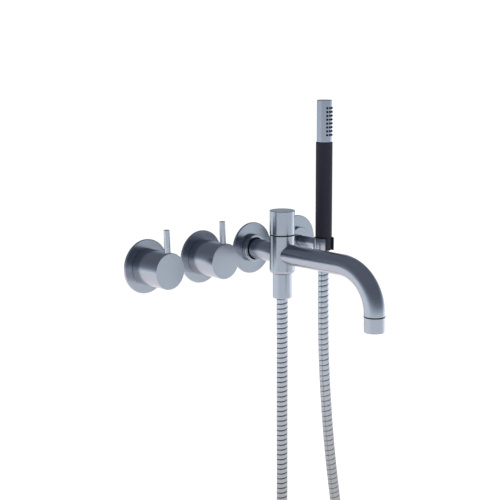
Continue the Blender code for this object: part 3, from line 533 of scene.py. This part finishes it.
def wound_strip(at, length):
    """The strip wound round the route: each vertex's distance along it and place, and each row's radius."""
    base = np.linspace(0, length, HOSE_SAMPLES)
    points = at(base)
    sides, lifts = carried_frames(points)

    def sample(table, distance):
        return np.stack([np.interp(distance, base, table[:, k]) for k in range(3)], axis=-1)

    turns = math.ceil(length / HOSE_PITCH) + 2
    share = np.array([p[0] for p in HOSE_PROFILE])
    radii = np.array([p[1] for p in HOSE_PROFILE])
    row_share = (np.arange(-1, turns)[:, None] + share[None, :]).ravel()
    row_radius = np.tile(radii, turns + 1)
    angle = 2 * np.pi * np.arange(HOSE_SIDES) / HOSE_SIDES
    wound = (row_share[:, None] + angle[None, :] / (2 * np.pi) - HOSE_START) * HOSE_PITCH
    distance = wound * (1 + HOSE_STRETCH * wound / length)
    distance = np.clip(distance, 0, length)
    middle = sample(points, distance)
    side, lift = sample(sides, distance), sample(lifts, distance)
    out = side * np.cos(angle)[None, :, None] + lift * np.sin(angle)[None, :, None]
    return distance, middle + out * row_radius[:, None, None], row_radius


def make_hose():
    at, length = spline_through(HOSE_ROUTE)
    distance, place, row_radius = wound_strip(at, length)
    bm = bmesh.new()
    uv = bm.loops.layers.uv.new("along")
    count = len(row_radius)
    turn_rows = len(HOSE_PROFILE)
    verts = [[bm.verts.new(place[t, j]) for j in range(HOSE_SIDES)] for t in range(count)]
    for t in range(count - 1):
        for j in range(HOSE_SIDES):
            if j < HOSE_SIDES - 1:
                corner = [(t, j), (t, j + 1), (t + 1, j + 1), (t + 1, j)]
            elif t + 1 + turn_rows < count:
                corner = [(t, j), (t + turn_rows, 0), (t + 1 + turn_rows, 0), (t + 1, j)]
            else:
                continue
            if distance[t + 1, j] <= 0 or distance[t, j] >= length:
                continue
            face = bm.faces.new([verts[a][b] for a, b in corner])
            # Faces deep in the groove take the dark painted shade
            face.material_index = int(row_radius[t] < GROOVE_RADIUS and row_radius[t + 1] < GROOVE_RADIUS)
            for loop, (a, b) in zip(face.loops, corner):
                loop[uv].uv = (distance[a, b], b / HOSE_SIDES)
    bmesh.ops.delete(bm, geom=[v for v in bm.verts if not v.link_faces], context="VERTS")
    bmesh.ops.remove_doubles(bm, verts=bm.verts, dist=SEAM_GAP)
    edges = [e for e in bm.edges if e.is_boundary]
    bmesh.ops.holes_fill(bm, edges=edges, sides=0)
    hose = new_piece("hose_tube", bm, HOSE_STEEL, crease=HOSE_SHARP)
    # The second material is the painted shade in the grooves
    hose.data.materials.append(HOSE_GROOVE_SHADE)
    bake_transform(hose)
    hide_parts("hose")
    at(np.linspace(0, length, 160)).tolist()


make_hose()

# ---------------------------------------------------------------- wall stations

# Heights in a wall station's outlines are from the wall's face: above 0 is in front of it
ROSETTE_BORE = 0.0148
ROSETTE_EDGE = 0.0006
NECK_RADIUS = 0.0142  # of whatever passes through a rosette
NECK_BACK = -0.004
IN_WALL = -0.016
WALL_THREAD = 0.0102
THREAD_PITCH = 0.0014
THREAD_DEPTH = 0.0006
THREAD_ROWS = 0.0002  # from one row of the mesh to the next

# Valve
SLEEVE_BORE = 0.012
SLEEVE_FRONT = 0.024
HEADWORK_NECK = 0.0070
HEADWORK_FRONT = 0.0200
HEADWORK_FLANGE = 0.0108
FLANGE_FRONT = 0.0060
FLANGE_BACK = 0.0010
HEADWORK_THREAD_FRONT = 0.0008
HEADWORK_CAVITY = 0.0078
CAVITY_FRONT = 0.0020
SPINDLE_BORE = 0.0043
WINDOW_OUT = -0.005
WINDOW_RADIUS = 0.0012
WINDOW_SIDES = 16
THROUGH = 0.02  # a drill that runs right through or out of a piece ends here

# Its knob and lever
KNOB_BORE = 0.0155
KNOB_WEB = 0.028  # back of the knob's solid front
KNOB_SOCKET_END = 0.0360
KNOB_SCREW_OUT = 0.032
SCREW_HOLE = 0.0022
SCREW_END = 0.0105
OUT_OF_KNOB = 0.03  # the drill for the screw ends here
LEVER_RAKE = math.radians(2.3)  # leans back towards the wall
LEVER_OUT = 0.0388
LEVER_RADIUS = 0.0033
LEVER_TOP = 0.0448
LEVER_FOOT = 0.0180

# Collars of the spout and the holder
COLLAR_RADIUS = 0.0163
COLLAR_FACE = 0.0080
COLLAR_BACK = 0.0025
COLLAR_FLOOR = 0.0040
PIPE_RADIUS = 0.0117
PIPE_COLLAR_BORE = 0.0120
SEAL_OUTER = 0.0129
SEAL_GAP = 0.0002
SEAL_FRONT = 0.0077
SEAL_BACK = 0.0045
INLET_FRONT = 0.0450  # inside the diverter's body
INLET_BORE = 0.0082

# Holder's stud and arm
STUD_RADIUS = 0.0040
STUD_FRONT = 0.020
STUD_BORE = 0.0043
STUD_PITCH = 0.00125
STUD_THREAD_DEPTH = 0.00055
STUD_ROWS = 0.00015
ARM_SOCKET = 0.0066
ARM_FRONT = 0.0365
ARM_BORE_END = 0.0203
ARM_SCREW_OUT = 0.014
ARM_SCREW_HOLE = 0.0019
ARM_SCREW_END = 0.0045


def make_rosette(node):
    axis = Axis(node)
    outline = [
        (ROSETTE_BORE, axis.high, CRISP),
        (axis.radius, axis.high, ROSETTE_EDGE),
        (axis.radius, axis.low, CRISP),
        (ROSETTE_BORE, axis.low),
    ]
    plate = turn_piece(node + "_plate", outline, STEEL, axis.frame, sides=FINE_SIDES)
    settle(plate, "root", "brushed_steel", node)


def make_valve_root(node, place):
    """The valve's sleeve and headwork, which stay still."""
    sleeve = [
        (NECK_RADIUS, SLEEVE_FRONT),
        (NECK_RADIUS, NECK_BACK, SOFT),
        (SLEEVE_BORE, NECK_BACK, SOFT),
        (SLEEVE_BORE, SLEEVE_FRONT),
    ]
    piece = turn_piece(node + "sleeve_turned", sleeve, BRASS_TURNED, place)
    settle(piece, "root", "brass", node + "guide_sleeve")
    stub = [
        (HEADWORK_NECK, HEADWORK_FRONT, SOFT),
        (HEADWORK_NECK, FLANGE_FRONT),
        (HEADWORK_FLANGE, FLANGE_FRONT, SOFT),
        (HEADWORK_FLANGE, FLANGE_BACK),
        *rows(WALL_THREAD, HEADWORK_THREAD_FRONT, IN_WALL, THREAD_ROWS),
        (HEADWORK_CAVITY, IN_WALL, SOFT),
        (HEADWORK_CAVITY, CAVITY_FRONT),
        (SPINDLE_BORE, CAVITY_FRONT),
        (SPINDLE_BORE, HEADWORK_FRONT),
    ]
    piece = turn_piece(node + "headwork_turned", stub, BRASS_TURNED, place)
    thread(piece, WALL_THREAD, IN_WALL, HEADWORK_THREAD_FRONT, THREAD_PITCH, THREAD_DEPTH)
    drill(piece, [((-THROUGH, 0, WINDOW_OUT), (THROUGH, 0, WINDOW_OUT))], WINDOW_RADIUS, WINDOW_SIDES)
    settle(piece, "root", "brass", node + "headwork")


def make_valve(side):
    node = side + "_"
    make_rosette(node + "rosette")
    axis = Axis(node + "knob")
    make_valve_root(node, axis.frame)
    drum = [
        (0, axis.high),
        (axis.radius, axis.high, EDGE),
        (axis.radius, axis.low, SOFT),
        (KNOB_BORE, axis.low, CRISP),
        (KNOB_BORE, KNOB_WEB),
        (SPINDLE_BORE, KNOB_WEB),
        (SPINDLE_BORE, KNOB_SOCKET_END),
        (0, KNOB_SOCKET_END),
    ]
    knob = turn_piece(node + "drum", drum, STEEL, axis.frame, closed=False, sides=FINE_SIDES)
    drill(knob, [((0, -SCREW_END, KNOB_SCREW_OUT), (0, -OUT_OF_KNOB, KNOB_SCREW_OUT))], SCREW_HOLE)
    settle(knob, side + "_handle", "brushed_steel", node + "knob")

    upright = Matrix.Rotation(-(math.pi / 2 + LEVER_RAKE), 4, "X")
    place = axis.frame @ Matrix.Translation((0, 0, LEVER_OUT)) @ upright
    pin = [
        (0, LEVER_TOP),
        (LEVER_RADIUS, LEVER_TOP, EDGE),
        (LEVER_RADIUS, LEVER_FOOT),
        (0, LEVER_FOOT),
    ]
    lever = turn_piece(node + "pin", pin, LEVER_STEEL_PAINTED_LIGHT, place, closed=False, sides=SMALL_SIDES)
    settle(lever, side + "_handle", "brushed_steel", node + "lever")


def collar_outline(bore, socket):
    """A collar and its neck, bored through, with a socket in its face."""
    return [
        (COLLAR_RADIUS, COLLAR_FACE, EDGE),
        (COLLAR_RADIUS, COLLAR_BACK, CRISP),
        (NECK_RADIUS, COLLAR_BACK),
        (NECK_RADIUS, NECK_BACK, SOFT),
        (bore, NECK_BACK, CRISP),
        (bore, COLLAR_FLOOR),
        (socket, COLLAR_FLOOR),
        (socket, COLLAR_FACE, CRISP),
    ]


def make_spout_station():
    make_rosette("spout_rosette")
    axis = Axis("spout_collar")
    collar = turn_piece(
        "spout_collar_turned", collar_outline(PIPE_COLLAR_BORE, SEAL_OUTER + SEAL_GAP), STEEL, axis.frame,
    )
    settle(collar, "root", "brushed_steel", "spout_collar")
    seal = [
        (SEAL_OUTER, SEAL_FRONT, SOFT),
        (SEAL_OUTER, SEAL_BACK),
        (PIPE_RADIUS, SEAL_BACK),
        (PIPE_RADIUS, SEAL_FRONT, SOFT),
    ]
    settle(turn_piece("collar_seal_ring", seal, RUBBER, axis.frame), "root", "rubber", "collar_seal")
    pipe = Axis("inlet_pipe")
    outline = [
        (PIPE_RADIUS, INLET_FRONT),
        (PIPE_RADIUS, NECK_BACK, SOFT),
        *rows(WALL_THREAD, NECK_BACK, IN_WALL, THREAD_ROWS),
        (INLET_BORE, IN_WALL, SOFT),
        (INLET_BORE, INLET_FRONT),
    ]
    piece = turn_piece("inlet_pipe_turned", outline, STEEL, pipe.frame)
    thread(piece, WALL_THREAD, IN_WALL, NECK_BACK, THREAD_PITCH, THREAD_DEPTH)
    settle(piece, "root", "brushed_steel", "inlet_pipe")


def make_holder_station():
    make_rosette("holder_rosette")
    axis = Axis("holder_collar")
    collar = turn_piece("holder_collar_turned", collar_outline(STUD_BORE, ARM_SOCKET), STEEL, axis.frame)
    settle(collar, "root", "brushed_steel", "holder_collar")
    stud = [
        (0, STUD_FRONT),
        (STUD_RADIUS, STUD_FRONT),
        *rows(STUD_RADIUS, 0.0, IN_WALL, STUD_ROWS),
        (0, IN_WALL),
    ]
    piece = turn_piece("holder_stud_threaded", stud, STEEL, axis.frame, closed=False, sides=SMALL_SIDES)
    thread(piece, STUD_RADIUS, IN_WALL, 0.0, STUD_PITCH, STUD_THREAD_DEPTH)
    settle(piece, "root", "brushed_steel", "holder_stud")
    arm_radius = Axis("holder_arm").radius
    arm = [
        (0, ARM_FRONT),
        (arm_radius, ARM_FRONT),
        (arm_radius, COLLAR_BACK),
        (STUD_BORE, COLLAR_BACK),
        (STUD_BORE, ARM_BORE_END),
        (0, ARM_BORE_END),
    ]
    piece = turn_piece("holder_arm_turned", arm, STEEL, axis.frame, closed=False, sides=MEDIUM_SIDES)
    drill(piece, [((0, -ARM_SCREW_END, ARM_SCREW_OUT), (0, -THROUGH, ARM_SCREW_OUT))], ARM_SCREW_HOLE)
    settle(piece, "root", "brushed_steel", "holder_arm")


make_valve("hot")
make_valve("cold")
make_spout_station()
make_holder_station()

# ---------------------------------------------------------------- diverter and spout

# Heights from here on are from the spout's axis
DIVERTER_OUT = 0.052
BODY_BOTTOM = -0.0224
BODY_ROUND = 0.0030
BODY_BORE = 0.0107
BODY_FLOOR = 0.0150
JOINT_EDGE = 0.0004  # rounding of the two edges beside the groove
NIPPLE_RADIUS = 0.0076
NIPPLE_BORE = 0.0055
NIPPLE_END = -0.0340
GROOVE_RING_INNER = 0.0114
DIVERTER_KNOB_BORE = 0.0120
DIVERTER_KNOB_WEB = 0.0340
DIVERTER_SOCKET_TOP = 0.0443
DIVERTER_SCREW_UP = 0.039
HOSE_SOCKET = 0.0069
NUT_THREAD = 0.0079
NUT_SHELF = -0.0386
NUT_EDGE = 0.0010


def make_diverter():
    axis = Axis("diverter_body", upright=True)
    body = [
        (BODY_BORE, axis.high, SOFT),
        (axis.radius, axis.high, JOINT_EDGE),
        (axis.radius, BODY_BOTTOM, BODY_ROUND),
        (NIPPLE_RADIUS, BODY_BOTTOM),
        (NIPPLE_RADIUS, NIPPLE_END),
        (NIPPLE_BORE, NIPPLE_END),
        (NIPPLE_BORE, BODY_FLOOR),
        (BODY_BORE, BODY_FLOOR),
    ]
    piece = turn_piece("diverter_body_turned", body, STEEL, axis.frame, sides=FINE_SIDES)
    settle(piece, "root", "brushed_steel", "diverter_body")
    groove = Axis("groove_ring", upright=True)
    ring = [
        (groove.radius, groove.high, CRISP),
        (groove.radius, groove.low, CRISP),
        (GROOVE_RING_INNER, groove.low),
        (GROOVE_RING_INNER, groove.high),
    ]
    settle(turn_piece("groove_ring_turned", ring, RUBBER, axis.frame), "root", "rubber", "groove_ring")
    cap = Axis("diverter_knob", upright=True)
    outline = [
        (0, cap.high),
        (cap.radius, cap.high, EDGE),
        (cap.radius, cap.low, JOINT_EDGE),
        (DIVERTER_KNOB_BORE, cap.low, CRISP),
        (DIVERTER_KNOB_BORE, DIVERTER_KNOB_WEB),
        (SPINDLE_BORE, DIVERTER_KNOB_WEB),
        (SPINDLE_BORE, DIVERTER_SOCKET_TOP),
        (0, DIVERTER_SOCKET_TOP),
    ]
    knob = turn_piece("diverter_knob_turned", outline, STEEL, cap.frame, closed=False, sides=FINE_SIDES)
    drill(knob, [((0, SCREW_END, DIVERTER_SCREW_UP), (0, OUT_OF_KNOB, DIVERTER_SCREW_UP))], SCREW_HOLE)
    settle(knob, "diverter_handle", "brushed_steel", "diverter_knob")
    nut = Axis("lower_hose_nut", upright=True)
    outline = [
        (nut.radius, nut.high, SOFT),
        (nut.radius, nut.low, NUT_EDGE),
        (HOSE_SOCKET, nut.low, SOFT),
        (HOSE_SOCKET, NUT_SHELF),
        (NUT_THREAD, NUT_SHELF),
        (NUT_THREAD, nut.high, CRISP),
    ]
    piece = turn_piece("hose_nut_turned", outline, STEEL, nut.frame)
    settle(piece, "root", "brushed_steel", "lower_hose_nut")


SPOUT_REACH = 0.1934
SPOUT_BEND = 0.0485
SPOUT_END = -0.0492
SPOUT_BORE = 0.0102
INSIDE_BODY = 0.004  # the spout starts this far in front of the diverter's axis
STRAIGHT_STEPS = 8
BEND_STEPS = 40


def sweep(name, path, outer, inner, material, sides=SIDES):
    """A pipe along the path, open at its ends. Its UV is the length in metres and the share of a turn."""
    points = np.array(path)
    side, lift = carried_frames(points)
    steps = np.linalg.norm(np.diff(points, axis=0), axis=1)
    along = np.concatenate([[0.0], np.cumsum(steps)])
    bm = bmesh.new()
    uv = bm.loops.layers.uv.new("along")
    skins = []
    for radius in (outer, inner):
        skin = []
        for k, point in enumerate(points):
            ring = []
            for i in range(sides):
                angle = 2 * math.pi * i / sides
                out = math.cos(angle) * side[k] + math.sin(angle) * lift[k]
                ring.append(bm.verts.new(point + radius * out))
            skin.append(ring)
        skins.append(skin)

    def face(corners, places):
        made = bm.faces.new(corners)
        for loop, place in zip(made.loops, places):
            loop[uv].uv = place

    for skin in skins:
        for k in range(len(points) - 1):
            for i in range(sides):
                j = (i + 1) % sides
                face(
                    [skin[k][i], skin[k][j], skin[k + 1][j], skin[k + 1][i]],
                    [(along[k], i / sides), (along[k], (i + 1) / sides),
                     (along[k + 1], (i + 1) / sides), (along[k + 1], i / sides)],
                )
    for k in (0, -1):
        for i in range(sides):
            j = (i + 1) % sides
            places = [(along[k], i / sides), (along[k], (i + 1) / sides)]
            face([skins[0][k][i], skins[0][k][j], skins[1][k][j], skins[1][k][i]], places + places[::-1])
    return new_piece(name, bm, material)


def make_spout():
    start, bend_start = DIVERTER_OUT + INSIDE_BODY, SPOUT_REACH - SPOUT_BEND
    path = [(0, -start - (bend_start - start) * i / STRAIGHT_STEPS, 0) for i in range(STRAIGHT_STEPS)]
    for step in range(BEND_STEPS + 1):
        angle = math.pi / 2 * step / BEND_STEPS
        out = bend_start + SPOUT_BEND * math.sin(angle)
        path.append((0, -out, -SPOUT_BEND * (1 - math.cos(angle))))
    path.append((0, -SPOUT_REACH, SPOUT_END))
    spout = sweep("spout_pipe", path, PIPE_RADIUS, SPOUT_BORE, STEEL_SWEPT)
    settle(spout, "root", "brushed_steel", "spout_tube")


CELL_SIZE = 0.0011
CELL_WALL = 0.00018
CELL_OVERLAP = 1.001  # cells are this much too large, so that neighbours join
CELL_KEPT = 0.55  # a cell's middle is at least this share of a cell inside the circle
COLUMN_STEP = 1.5  # cells from one column of hexagons to the next
HEXAGON = [(math.cos(math.radians(60 * k)), math.sin(math.radians(60 * k))) for k in range(6)]


def honeycomb(bm, radius, low, high):
    """Hexagonal tubes side by side inside a circle."""
    pitch = CELL_SIZE * COLUMN_STEP
    reach = math.ceil(radius / pitch) + 1
    for i in range(-reach, reach + 1):
        for j in range(-reach, reach + 1):
            x = pitch * i
            y = CELL_SIZE * math.sqrt(3) * (j + (i % 2) / 2)
            if math.hypot(x, y) > radius - CELL_SIZE * CELL_KEPT:
                continue
            outer, inner = CELL_SIZE * CELL_OVERLAP, CELL_SIZE - CELL_WALL
            rings = []
            for size, z in ((outer, low), (outer, high), (inner, high), (inner, low)):
                rings.append([bm.verts.new((x + size * c, y + size * s, z)) for c, s in HEXAGON])
            for a, b in zip(rings, rings[1:] + rings[:1]):
                for k in range(6):
                    m = (k + 1) % 6
                    bm.faces.new([a[k], a[m], b[m], b[k]])


# Aerator, with its honeycomb's ends measured from its lower face
AERATOR_BORE = 0.0094
AERATOR_SEAL_BORE = 0.0095
AERATOR_NECK_TOP = -0.0460
AERATOR_LIP = 0.0086
AERATOR_GAP = 0.0002
INSERT_TOP = -0.0560
INSERT_WALL = 0.0010
INSERT_DEPTH = 0.0040
HONEYCOMB_INSET = 0.0004
HONEYCOMB_TOP = 0.0045


def make_aerator():
    seal = Axis("aerator_seal", upright=True)
    ring = [
        (seal.radius, seal.high, SOFT),
        (seal.radius, seal.low, SOFT),
        (AERATOR_SEAL_BORE, seal.low),
        (AERATOR_SEAL_BORE, seal.high),
    ]
    settle(turn_piece("aerator_seal_ring", ring, RUBBER, seal.frame), "root", "rubber", "aerator_seal")
    shell = Axis("aerator_housing", upright=True)
    outline = [
        (AERATOR_BORE, AERATOR_NECK_TOP),
        (AERATOR_BORE, seal.low - AERATOR_GAP),
        (shell.radius, seal.low - AERATOR_GAP, SOFT),
        (shell.radius, shell.low, EDGE),
        (AERATOR_LIP, shell.low, SOFT),
        (AERATOR_LIP, AERATOR_NECK_TOP),
    ]
    housing = turn_piece("aerator_housing_turned", outline, STEEL, shell.frame)
    settle(housing, "root", "brushed_steel", "aerator_housing")
    insert = Axis("aerator_insert", upright=True)
    rim = [
        (0, INSERT_TOP),
        (insert.radius, INSERT_TOP),
        (insert.radius, insert.low, CRISP),
        (insert.radius - INSERT_WALL, insert.low, CRISP),
        (insert.radius - INSERT_WALL, insert.low + INSERT_DEPTH),
        (0, insert.low + INSERT_DEPTH),
    ]
    bm = turned_mesh(rim, False, MEDIUM_SIDES)
    honeycomb(bm, insert.radius - HONEYCOMB_INSET, insert.low + HONEYCOMB_INSET, insert.low + HONEYCOMB_TOP)
    piece = new_piece("aerator_honeycomb", bm, WHITE, insert.frame)
    settle(piece, "root", "white_plastic", "aerator_insert")


make_diverter()
make_spout()
make_aerator()

# ---------------------------------------------------------------- holder ring and hand shower

RING_BORE = 0.0109
RING_SLOT = 0.0146
RING_BEVEL = 0.0003
LINER_RADIUS = 0.0108
LINER_BORES = (0.0093, 0.0097)  # at its low and at its high end
LINER_SLOT = 0.0128
LINER_LIP = 0.0006
LIP_INSET = 0.0002  # the lip ends this far inside the ring's outside
LINER_BEVEL = 0.00015
RING_STEPS = 96
LINER_STEPS = RING_STEPS - 4  # the lips' four points make up the rest
BEVEL_FROM = math.radians(50)


def slotted_ring(name, chains, low, high, material, place, bevel):
    """A ring with a slot. chains gives its outer and inner points at its low and at its high end."""
    bm = bmesh.new()
    made = []
    for z, (outer, inner) in zip((low, high), chains):
        made.append([[bm.verts.new((x, y, z)) for x, y in chain] for chain in (outer, inner)])
    (outer_low, inner_low), (outer_high, inner_high) = made
    last = len(outer_low) - 1
    for i in range(last):
        bm.faces.new([outer_low[i], outer_low[i + 1], outer_high[i + 1], outer_high[i]])
        bm.faces.new([inner_low[i + 1], inner_low[i], inner_high[i], inner_high[i + 1]])
        bm.faces.new([outer_high[i], outer_high[i + 1], inner_high[i + 1], inner_high[i]])
        bm.faces.new([inner_low[i], inner_low[i + 1], outer_low[i + 1], outer_low[i]])
    for i in (0, last):
        bm.faces.new([outer_low[i], outer_high[i], inner_high[i], inner_low[i]])
    piece = new_piece(name, bm, material, place)
    soft = piece.modifiers.new("edges", "BEVEL")
    soft.width = bevel
    soft.segments = 3
    soft.limit_method = "ANGLE"
    soft.angle_limit = BEVEL_FROM
    apply_modifiers(piece)
    piece.data.set_sharp_from_angle(angle=SHARP)
    return piece


def slot_arc(radius, half_slot, count=RING_STEPS):
    """Points round the back of a circle, from one side of a slot that faces -Y to the other."""
    gap = math.asin(half_slot / radius)
    points = []
    for i in range(count + 1):
        angle = gap + (2 * math.pi - 2 * gap) * i / count
        points.append((radius * math.sin(angle), -radius * math.cos(angle)))
    return points


def liner_outer(radius, ring_radius, half_slot):
    """The liner's outside: inside the steel ring, with a lip along each side of the slot."""
    lip = half_slot + LINER_LIP
    arc = slot_arc(radius, lip, LINER_STEPS)
    front = -math.sqrt(ring_radius**2 - lip**2) + LIP_INSET
    corner = -math.sqrt(ring_radius**2 - half_slot**2) + LIP_INSET
    return [(half_slot, corner), (lip, front), *arc, (-lip, front), (-half_slot, corner)]


def make_holder():
    axis = Axis("holder_ring", upright=True)
    place = Axis("upper_hose_nut", upright=True).frame
    chains = [[slot_arc(radius, RING_SLOT / 2) for radius in (axis.radius, RING_BORE)]] * 2
    ring = slotted_ring("holder_ring_slotted", chains, axis.low, axis.high, STEEL, place, RING_BEVEL)
    settle(ring, "root", "brushed_steel", "holder_ring")
    around = liner_outer(LINER_RADIUS, axis.radius, LINER_SLOT / 2)
    chains = [(around, slot_arc(bore, LINER_SLOT / 2)) for bore in LINER_BORES]
    liner = slotted_ring("holder_liner_slotted", chains, axis.low, axis.high, BLACK, place, LINER_BEVEL)
    settle(liner, "root", "black_plastic", "holder_liner")


# Hand shower
CONE_LOW_RADIUS = 0.0090
CONE_THREAD = 0.0076
SHELF_BORE = 0.0059
SHELF_TOP = -0.0017
GRIP_BORE = 0.0079
GRIP_EDGE = 0.0004
HEAD_BOTTOM = 0.1225
HEAD_NECK = 0.0076
HEAD_BORE = 0.0069
HEAD_ROOF = 0.1682
NOZZLE_ROWS = 8
NOZZLE_TOP = 0.1622
NOZZLE_PITCH = 0.00447
NOZZLE_ANGLES = (-25, 0, 25)
NOZZLE_HOLE = 0.0014
NOZZLE_SIDES = 24
HOLE_FROM = 0.0067  # a nozzle's hole, outwards from the head's axis: inside the shell,
HOLE_TO = 0.0120  # and outside it

# Nozzle insert: a sleeve with a tip in each hole
SLEEVE_OUTER = 0.0066
SLEEVE_INNER = 0.0056
SLEEVE_TOP = 0.1678
SLEEVE_BOTTOM = 0.1256
TIP_SIDES = 20
TIP_END = 0.0099
TIP_RADIUS = 0.00125
TIP_EDGE = 0.0004
TIP_ROOT = 0.0060
TIP_ROOT_RADIUS = 0.00135


def make_head(place):
    head = Axis("handset_head", upright=True)
    shell = [
        (0, head.high),
        (head.radius, head.high, EDGE),
        (head.radius, HEAD_BOTTOM, SOFT),
        (HEAD_NECK, HEAD_BOTTOM),
        (HEAD_NECK, head.low),
        (HEAD_BORE, head.low),
        (HEAD_BORE, HEAD_ROOF),
        (0, HEAD_ROOF),
    ]
    piece = turn_piece("head_shell", shell, STEEL, place, closed=False)
    rays = []
    for row in range(NOZZLE_ROWS):
        height = NOZZLE_TOP - row * NOZZLE_PITCH
        for degrees in NOZZLE_ANGLES:
            turn = math.radians(degrees)
            rays.append((Vector((math.sin(turn), -math.cos(turn), 0)), Vector((0, 0, height))))
    drill(piece, [(at + ray * HOLE_FROM, at + ray * HOLE_TO) for ray, at in rays], NOZZLE_HOLE, NOZZLE_SIDES)
    settle(piece, "handset", "brushed_steel", "handset_head")
    sleeve = [
        (SLEEVE_OUTER, SLEEVE_TOP),
        (SLEEVE_OUTER, SLEEVE_BOTTOM),
        (SLEEVE_INNER, SLEEVE_BOTTOM),
        (SLEEVE_INNER, SLEEVE_TOP),
    ]
    bm = turned_mesh(sleeve, True, SMALL_SIDES)
    tip = [
        (0, TIP_END),
        (TIP_RADIUS, TIP_END, TIP_EDGE),
        (TIP_ROOT_RADIUS, TIP_ROOT),
        (0, TIP_ROOT),
    ]
    for ray, at in rays:
        part = turned_mesh(tip, False, TIP_SIDES)
        part.transform(Matrix.Translation(at) @ ray.to_track_quat("Z", "Y").to_matrix().to_4x4())
        shape = bpy.data.meshes.new("nozzle")
        part.to_mesh(shape)
        part.free()
        bm.from_mesh(shape)
        bpy.data.meshes.remove(shape)
    settle(new_piece("nozzle_tips", bm, RUBBER, place), "handset", "rubber", "nozzle_insert")


def make_handset():
    nut = Axis("upper_hose_nut", upright=True)
    cone = [
        (nut.radius, nut.high, SOFT),
        (CONE_LOW_RADIUS, nut.low, EDGE),
        (SHELF_BORE, nut.low, CRISP),
        (SHELF_BORE, SHELF_TOP),
        (CONE_THREAD, SHELF_TOP),
        (CONE_THREAD, nut.high),
    ]
    piece = turn_piece("cone_nut_turned", cone, BLACK, nut.frame)
    settle(piece, "handset", "black_plastic", "upper_hose_nut")
    grip = Axis("handset_grip", upright=True)
    tube = [
        (grip.radius, grip.high, GRIP_EDGE),
        (grip.radius, grip.low, GRIP_EDGE),
        (GRIP_BORE, grip.low),
        (GRIP_BORE, grip.high),
    ]
    settle(turn_piece("grip_sleeve", tube, BLACK, nut.frame), "handset", "black_plastic", "handset_grip")
    make_head(nut.frame)


make_holder()
make_handset()

# ---------------------------------------------------------------- looks of the CAD nodes that stay


def dress_cad_nodes():
    """Gives each CAD node the look of its material slot in the record."""
    slots = {}
    for row in frame["record"]["materials"]:
        for node in row.get("nodes", []):
            slots[node] = row["slot"]
    for name, node in frame["nodes"].items():
        material = CAD_LOOKS[slots.get(name, "brass")]
        node.data.materials.clear()
        node.data.materials.append(material)


dress_cad_nodes()

# ---------------------------------------------------------------- stage

FLOOR_HEIGHT = -0.75
FLOOR_RADIUS = 2.6
FLOOR_TONES = ((0.94, 0.875, 0.86), (0.96, 0.895, 0.88))
SUN_STRENGTH = 3.5
SUN_WIDTH = math.radians(70)
BACKDROP_STRENGTH = 1.05

# The room that lights the object and that it mirrors. Its brightness by height angle in degrees:
SKY = (
    (-17, (0.99, 1.03, 1.05)),
    (-9, (0.96, 1.04, 1.09)),
    (-4, (0.62, 0.68, 0.76)),
    (2, (0.33, 0.36, 0.42)),
    (9, (0.23, 0.25, 0.30)),
    (20, (0.18, 0.195, 0.24)),
    (90, (0.20, 0.215, 0.26)),
)
# a soft panel, as direction, and angles in degrees where it is full and where it ends:
PANEL = ((0.67, 0.72, 0.17), 9, 26)
PANEL_COLOR = (0.40, 0.44, 0.50)
# and sides where all of it is brighter, by the last number:
SIDE_GLOWS = (
    ((-0.77, 0.64, -0.20), 15, 50, 0.28),
    ((1.0, -0.05, -0.20), 10, 40, 0.70),
)


def make_floor():
    bm = bmesh.new()
    bmesh.ops.create_circle(bm, cap_ends=True, segments=FINE_SIDES, radius=FLOOR_RADIUS)
    n = Surface("pale_floor")
    place = n.add("TexCoord").outputs["Object"]
    tone = n.noise(place, scale=3.0, detail=3.0)
    rough = n.around(tone, middle=0.85, spread=0.1)
    material = n.finish(n.blend(tone, *FLOOR_TONES), rough, Specular_IOR_Level=0.0)
    floor = new_piece("floor", bm, material, Matrix.Translation((0, 0, FLOOR_HEIGHT)))


def make_sun():
    data = bpy.data.lights.new("soft_sun", "SUN")
    data.energy = SUN_STRENGTH
    data.angle = SUN_WIDTH
    sun = bpy.data.objects.new("soft_sun", data)
    sun.visible_glossy = False
    bpy.context.scene.collection.objects.link(sun)


def make_room():
    """A white backdrop for the camera, and for all else a room of soft light."""
    world = bpy.data.worlds.new("studio")
    world.use_nodes = True
    world.node_tree.nodes.clear()
    n = Nodes(world.node_tree)
    toward = n.add("TexCoord").outputs["Generated"]

    def nearness(aim, inner, outer, peak):
        """From 0 at the outer angle from the aim to the peak at the inner one."""
        dot = n.add("VectorMath", {0: toward, 1: Vector(aim).normalized()}, operation="DOT_PRODUCT")
        ends = {
            0: dot.outputs["Value"],
            1: math.cos(math.radians(outer)),
            2: math.cos(math.radians(inner)),
            3: 0.0,
            4: peak,
        }
        return n.add("MapRange", ends, interpolation_type="SMOOTHSTEP").outputs[0]

    rise = n.add("SeparateXYZ", {0: toward}).outputs[2]
    ramp = n.add("ValToRGB", {0: n.math("MULTIPLY_ADD", rise, 0.5, 0.5)})
    stops = ramp.color_ramp.elements
    stops.remove(stops[1])
    for i, (degrees, color) in enumerate(SKY):
        place = (1 + math.sin(math.radians(degrees))) / 2
        stop = stops.new(place) if i else stops[0]
        stop.position = place
        stop.color = (*color, 1)
    mirrored = {0: nearness(*PANEL, 1.0), 6: ramp.outputs[0], 7: (*PANEL_COLOR, 1)}
    color = n.add("Mix", mirrored, data_type="RGBA").outputs[2]
    strength = 1.0
    for glow in SIDE_GLOWS:
        strength = n.math("ADD", nearness(*glow), strength)
    room = n.add("Background", {"Color": color, "Strength": strength})
    backdrop = n.add("Background", {"Color": (1, 1, 1, 1), "Strength": BACKDROP_STRENGTH})
    seen = n.add("LightPath").outputs["Is Camera Ray"]
    mix = n.add("MixShader", {0: seen, 1: room.outputs[0], 2: backdrop.outputs[0]})
    n.add("OutputWorld", {"Surface": mix.outputs[0]})
    bpy.context.scene.world = world


make_floor()
make_sun()
make_room()
bpy.context.scene.view_settings.view_transform = "Standard"
